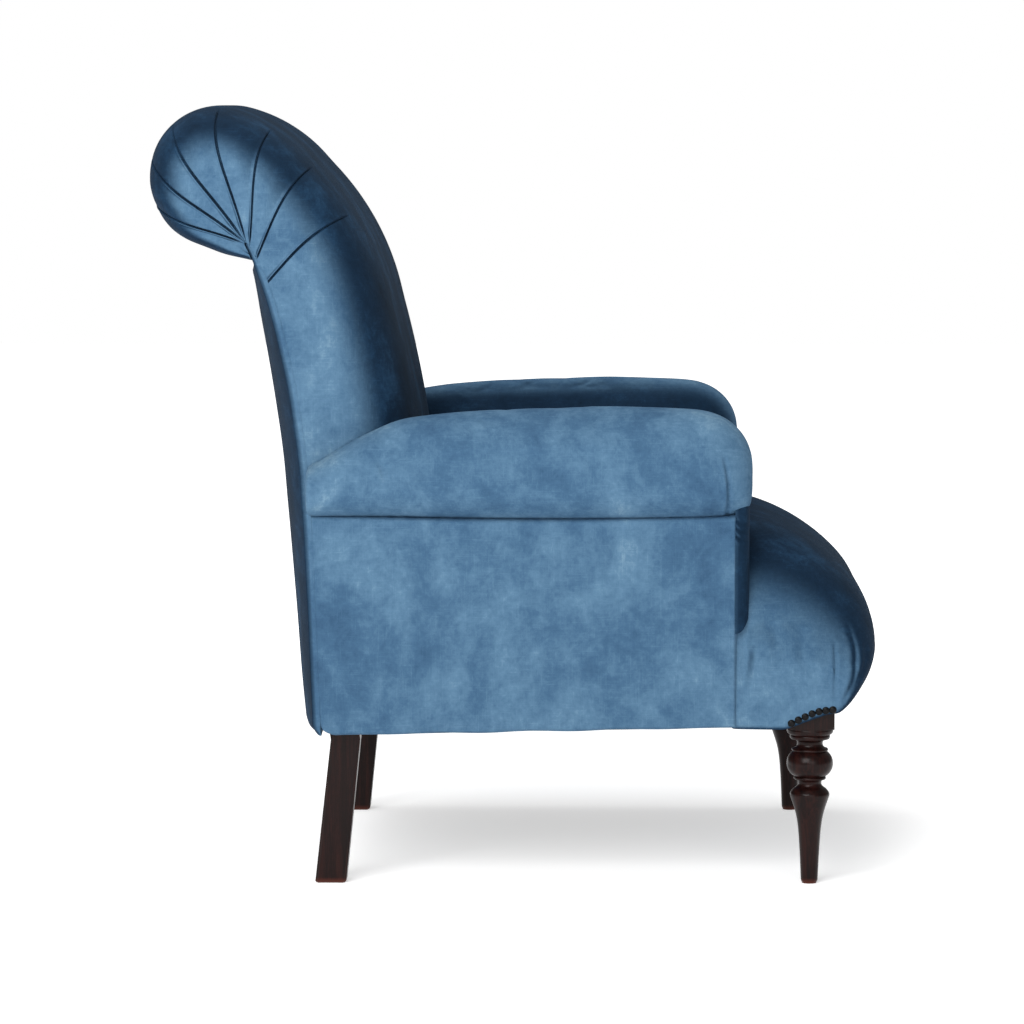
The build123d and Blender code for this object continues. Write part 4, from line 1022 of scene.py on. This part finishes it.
def seat_d(count):
    """Width and depth of the seat's cross-section, evenly spread."""
    angle = np.linspace(0, math.pi, 4001)
    width = softened(np.cos(angle), 2 / SEAT_WIDTH_POWER)
    depth = np.sin(angle) ** (2 / SEAT_DEPTH_POWER)
    spots = lengths_along(np.column_stack([width * SEAT_HALF, depth * 240.0]))
    even = np.linspace(0, spots[-1], count)
    return np.interp(even, spots, width), np.interp(even, spots, depth)


SEAT_WIDTH_POWER = 5.2
SEAT_DEPTH_POWER = 3.9
seat_wide, seat_deep = seat_d(161)
seat_side = edge_points[:, None, :] + (nose - edge_points)[:, None, :] * seat_deep[None, :, None]
seat_x = np.broadcast_to(SEAT_WIDE * seat_wide, seat_side.shape[:2])
front_grid = np.concatenate([seat_x[:, :, None], seat_side], axis=2)
seat_front = loft("seat_front", front_grid)

# %% Seat between the arms
SEAT_REAR = seat_high[1]
MIDDLE_HALF = LINING_IN + 1.0
MIDDLE_UNDER = 302.0
REAR_FALL = 6.0
rows = []
for y in np.linspace(SEAT_REAR, SEAT_JOIN - 12.0, 60):
    x = np.linspace(-MIDDLE_HALF, MIDDLE_HALF, 81)
    fall = np.clip(1 - (np.abs(x) / SEAT_HALF) ** SEAT_WIDTH_POWER, 0, 1) ** (1 / SEAT_DEPTH_POWER)
    top = SEAT_FOOT + (SEAT_CROWN - SEAT_FOOT) * fall - REAR_FALL * smoothstep(y, 20.0, 110.0)
    upper = np.column_stack([x, np.full(81, y), top])
    lower = np.column_stack([x[::-1], np.full(81, y), np.full(81, MIDDLE_UNDER)])
    rows.append(np.concatenate([upper, lower]))
seat_middle = loft("seat_middle", rows)

# %% Velvet turned under the front rail, and the whole seat
HEM_HALF = 264.0
HEM_SPAN_Y = (-388.0, -366.0)
HEM_SPAN_Z = (194.5, 240.0)
hem = slab("hem", (-HEM_HALF, HEM_HALF), HEM_SPAN_Y, HEM_SPAN_Z, radius=4.0)
seat = joined("seat_velvet", seat_front, seat_middle, hem)
eased(seat, 5)
seat_points = points_of(seat)
seat_held = np.maximum.reduce([
    1 - smoothstep(seat_points[:, 2], 215.0, 280.0),
    smoothstep(seat_points[:, 1], 40.0, 100.0),
    smoothstep(seat_points[:, 1], SEAT_JOIN - 30.0, SEAT_JOIN)
    * smoothstep(np.abs(seat_points[:, 0]), 225.0, 240.0),
])
blown_up(seat, seat_held)
finer(seat)

# %% Folds round the seat's front corners
CORNER_FOLDS = (
    (((-385.0, 302.0), (-386.0, 265.0), (-385.0, 222.0)), 1.5, 1.6),
    (((-402.0, 322.0), (-412.0, 290.0), (-410.0, 255.0), (-394.0, 226.0)), 2.0, 3.2),
    (((-424.0, 300.0), (-424.0, 272.0), (-406.0, 238.0)), 1.6, 3.6),
    (((-310.0, 325.0), (-316.0, 300.0), (-312.0, 270.0)), 1.6, 8.0),
    (((-348.0, 318.0), (-345.0, 290.0), (-350.0, 262.0)), 1.2, 8.0),
)
points, normals = points_of(seat), normals_of(seat)
side_face = smoothstep(np.abs(points[:, 0]), SEAT_HALF - 60.0, SEAT_HALF - 28.0)
for line, depth, width in CORNER_FOLDS:
    points = crease(points, normals, line, depth, width, where=side_face)
put_points(seat, points)
# Painted shade on the seat's faces that look forward or up.
cover(seat, "seat_cover", "seat_foam", fill=0.9, nap=painted_shade_dirs_of(seat))


# %% [markdown]
# ## Nails
#
# Seven black domed nails hold the velvet's lower edge across each front leg. They are hammered by hand, so
# they sit nearly but not quite in line.

# %% Domed nails
NAIL_RADIUS = 4.9
NAIL_RISE = 3.0
NAIL_COUNT = 7
NAIL_INSET = 3.8
ROW_BOW = 12.0
STAGGER = 0.5
NAIL_SINK = 1.5
SHANK = 12.0
SHANK_RADIUS = 0.9


def nails(name, hand):
    """One row of nail heads with their shanks, joined in one mesh."""
    low, high = box_mm("leg_nails_right")
    first = np.array([high[1] - NAIL_INSET, low[2] + NAIL_INSET])
    last = np.array([low[1] + NAIL_INSET, high[2] - NAIL_INSET])
    spin = Matrix.Rotation(math.radians(90 * hand), 4, "Y")
    work = bmesh.new()
    for i in range(NAIL_COUNT):
        t = i / (NAIL_COUNT - 1)
        lift = ROW_BOW * t * (1 - t) + STAGGER * math.sin(5 * i)
        y, z = first + (last - first) * t + np.array([0, lift])
        driven = Matrix.Translation(Vector((hand * (SEAT_WIDE - NAIL_SINK), y, z)) / MM) @ spin
        dome = bmesh.ops.create_uvsphere(work, u_segments=24, v_segments=14, radius=NAIL_RADIUS / MM)["verts"]
        for v in dome:
            v.co.z = v.co.z * NAIL_RISE / NAIL_RADIUS if v.co.z > 0 else v.co.z * 0.1
        bmesh.ops.transform(work, matrix=driven, verts=dome)
        shank = bmesh.ops.create_cone(work, cap_ends=True, segments=10, radius1=SHANK_RADIUS / MM,
                                      radius2=SHANK_RADIUS / MM, depth=SHANK / MM)["verts"]
        bmesh.ops.transform(work, matrix=driven @ Matrix.Translation((0, 0, -SHANK / 2 / MM)), verts=shank)
    mesh = bpy.data.meshes.new(name)
    work.to_mesh(mesh)
    work.free()
    shade_smooth(mesh, 60)
    return placed(name, mesh)


cover(nails("nails_right", -1), "leg_nails_right", fill=None, slot="nail_metal")
cover(nails("nails_left", 1), "leg_nails_left", fill=None, slot="nail_metal")


# %% [markdown]
# ## Floor, light and camera
#
# A pale paper floor that glows a little more with distance, so it meets the white surroundings without a
# line. One large soft light stands beside the chair's right rear corner, so that the forward-facing velvet
# falls into shade, with weak fills; painted shade in the velvet's colour darkens it further. The camera
# stands well back at scroll height and looks slightly down.

# %% Floor
FLOOR_HALF = 12.0
PAPER_GLOW = 0.50
floor_mesh = bpy.data.meshes.new("floor")
corners = [(x * FLOOR_HALF, y * FLOOR_HALF, 0) for x, y in ((-1, -1), (1, -1), (1, 1), (-1, 1))]
floor_mesh.from_pydata(corners, [], [(0, 1, 2, 3)])
floor = placed("floor", floor_mesh)
paper, tree, surface, place = new_material(
    "studio_paper_white", Roughness=0.95, Specular_IOR_Level=0.0, Base_Color=linear("#f4f4f4"),
    Emission_Color=linear("#ffffff"))
away = add(tree, "ShaderNodeVectorMath", {0: place}, operation="LENGTH").outputs["Value"]
glow = add(tree, "ShaderNodeMapRange", {"Value": away, "From Min": 0.7, "From Max": 2.6, "To Min": PAPER_GLOW,
                                        "To Max": 1.0}, interpolation_type="SMOOTHSTEP").outputs["Result"]
tree.links.new(glow, surface.inputs["Emission Strength"])
floor.data.materials.append(paper)

# %% Light
world = bpy.data.worlds.new("studio")
bpy.context.scene.world = world
world.use_nodes = True
tree = world.node_tree
tree.nodes.clear()
seen = add(tree, "ShaderNodeLightPath").outputs["Is Camera Ray"]
level = add(tree, "ShaderNodeMapRange", {"Value": seen, "To Min": 0.30, "To Max": 1.0}).outputs["Result"]
sky = add(tree, "ShaderNodeBackground", {"Color": linear("#ffffff"), "Strength": level}).outputs[0]
add(tree, "ShaderNodeOutputWorld", {"Surface": sky})


def softbox(name, place, aim, width, height, watts):
    """A rectangular area light that looks at a point."""
    light = bpy.data.lights.new(name, "AREA")
    light.shape = "RECTANGLE"
    light.size, light.size_y = width, height
    light.energy = watts
    lamp = placed(name, light)
    lamp.location = place
    lamp.rotation_euler = (Vector(aim) - Vector(place)).to_track_quat("-Z", "Y").to_euler()


softbox("key", (-3.3, 1.1, 2.4), (0.0, 0.0, 0.5), 2.2, 2.2, 118)
softbox("side_fill", (-3.4, -0.9, 1.2), (0.0, 0.0, 0.5), 1.6, 1.6, 20)
softbox("top", (0.2, 0.5, 3.6), (0.0, 0.0, 0.4), 2.4, 2.4, 60)
bpy.context.scene.view_settings.view_transform = "Standard"

# %% Camera
CAMERA_PLACE = (-5.7198, -0.0985, 0.9512)
CAMERA_TURN = 0.01953
CAMERA_DOWN = 0.09093
CAMERA_LENS = 157.3
camera = placed("camera", bpy.data.cameras.new("camera"))
camera.data.lens = CAMERA_LENS
camera.data.sensor_width = 36.0
camera.data.clip_end = 60.0
camera.location = CAMERA_PLACE
level_share = math.cos(CAMERA_DOWN)
looking = Vector((math.cos(CAMERA_TURN) * level_share, math.sin(CAMERA_TURN) * level_share,
                  -math.sin(CAMERA_DOWN)))
camera.rotation_euler = looking.to_track_quat("-Z", "Y").to_euler()
bpy.context.scene.camera = camera
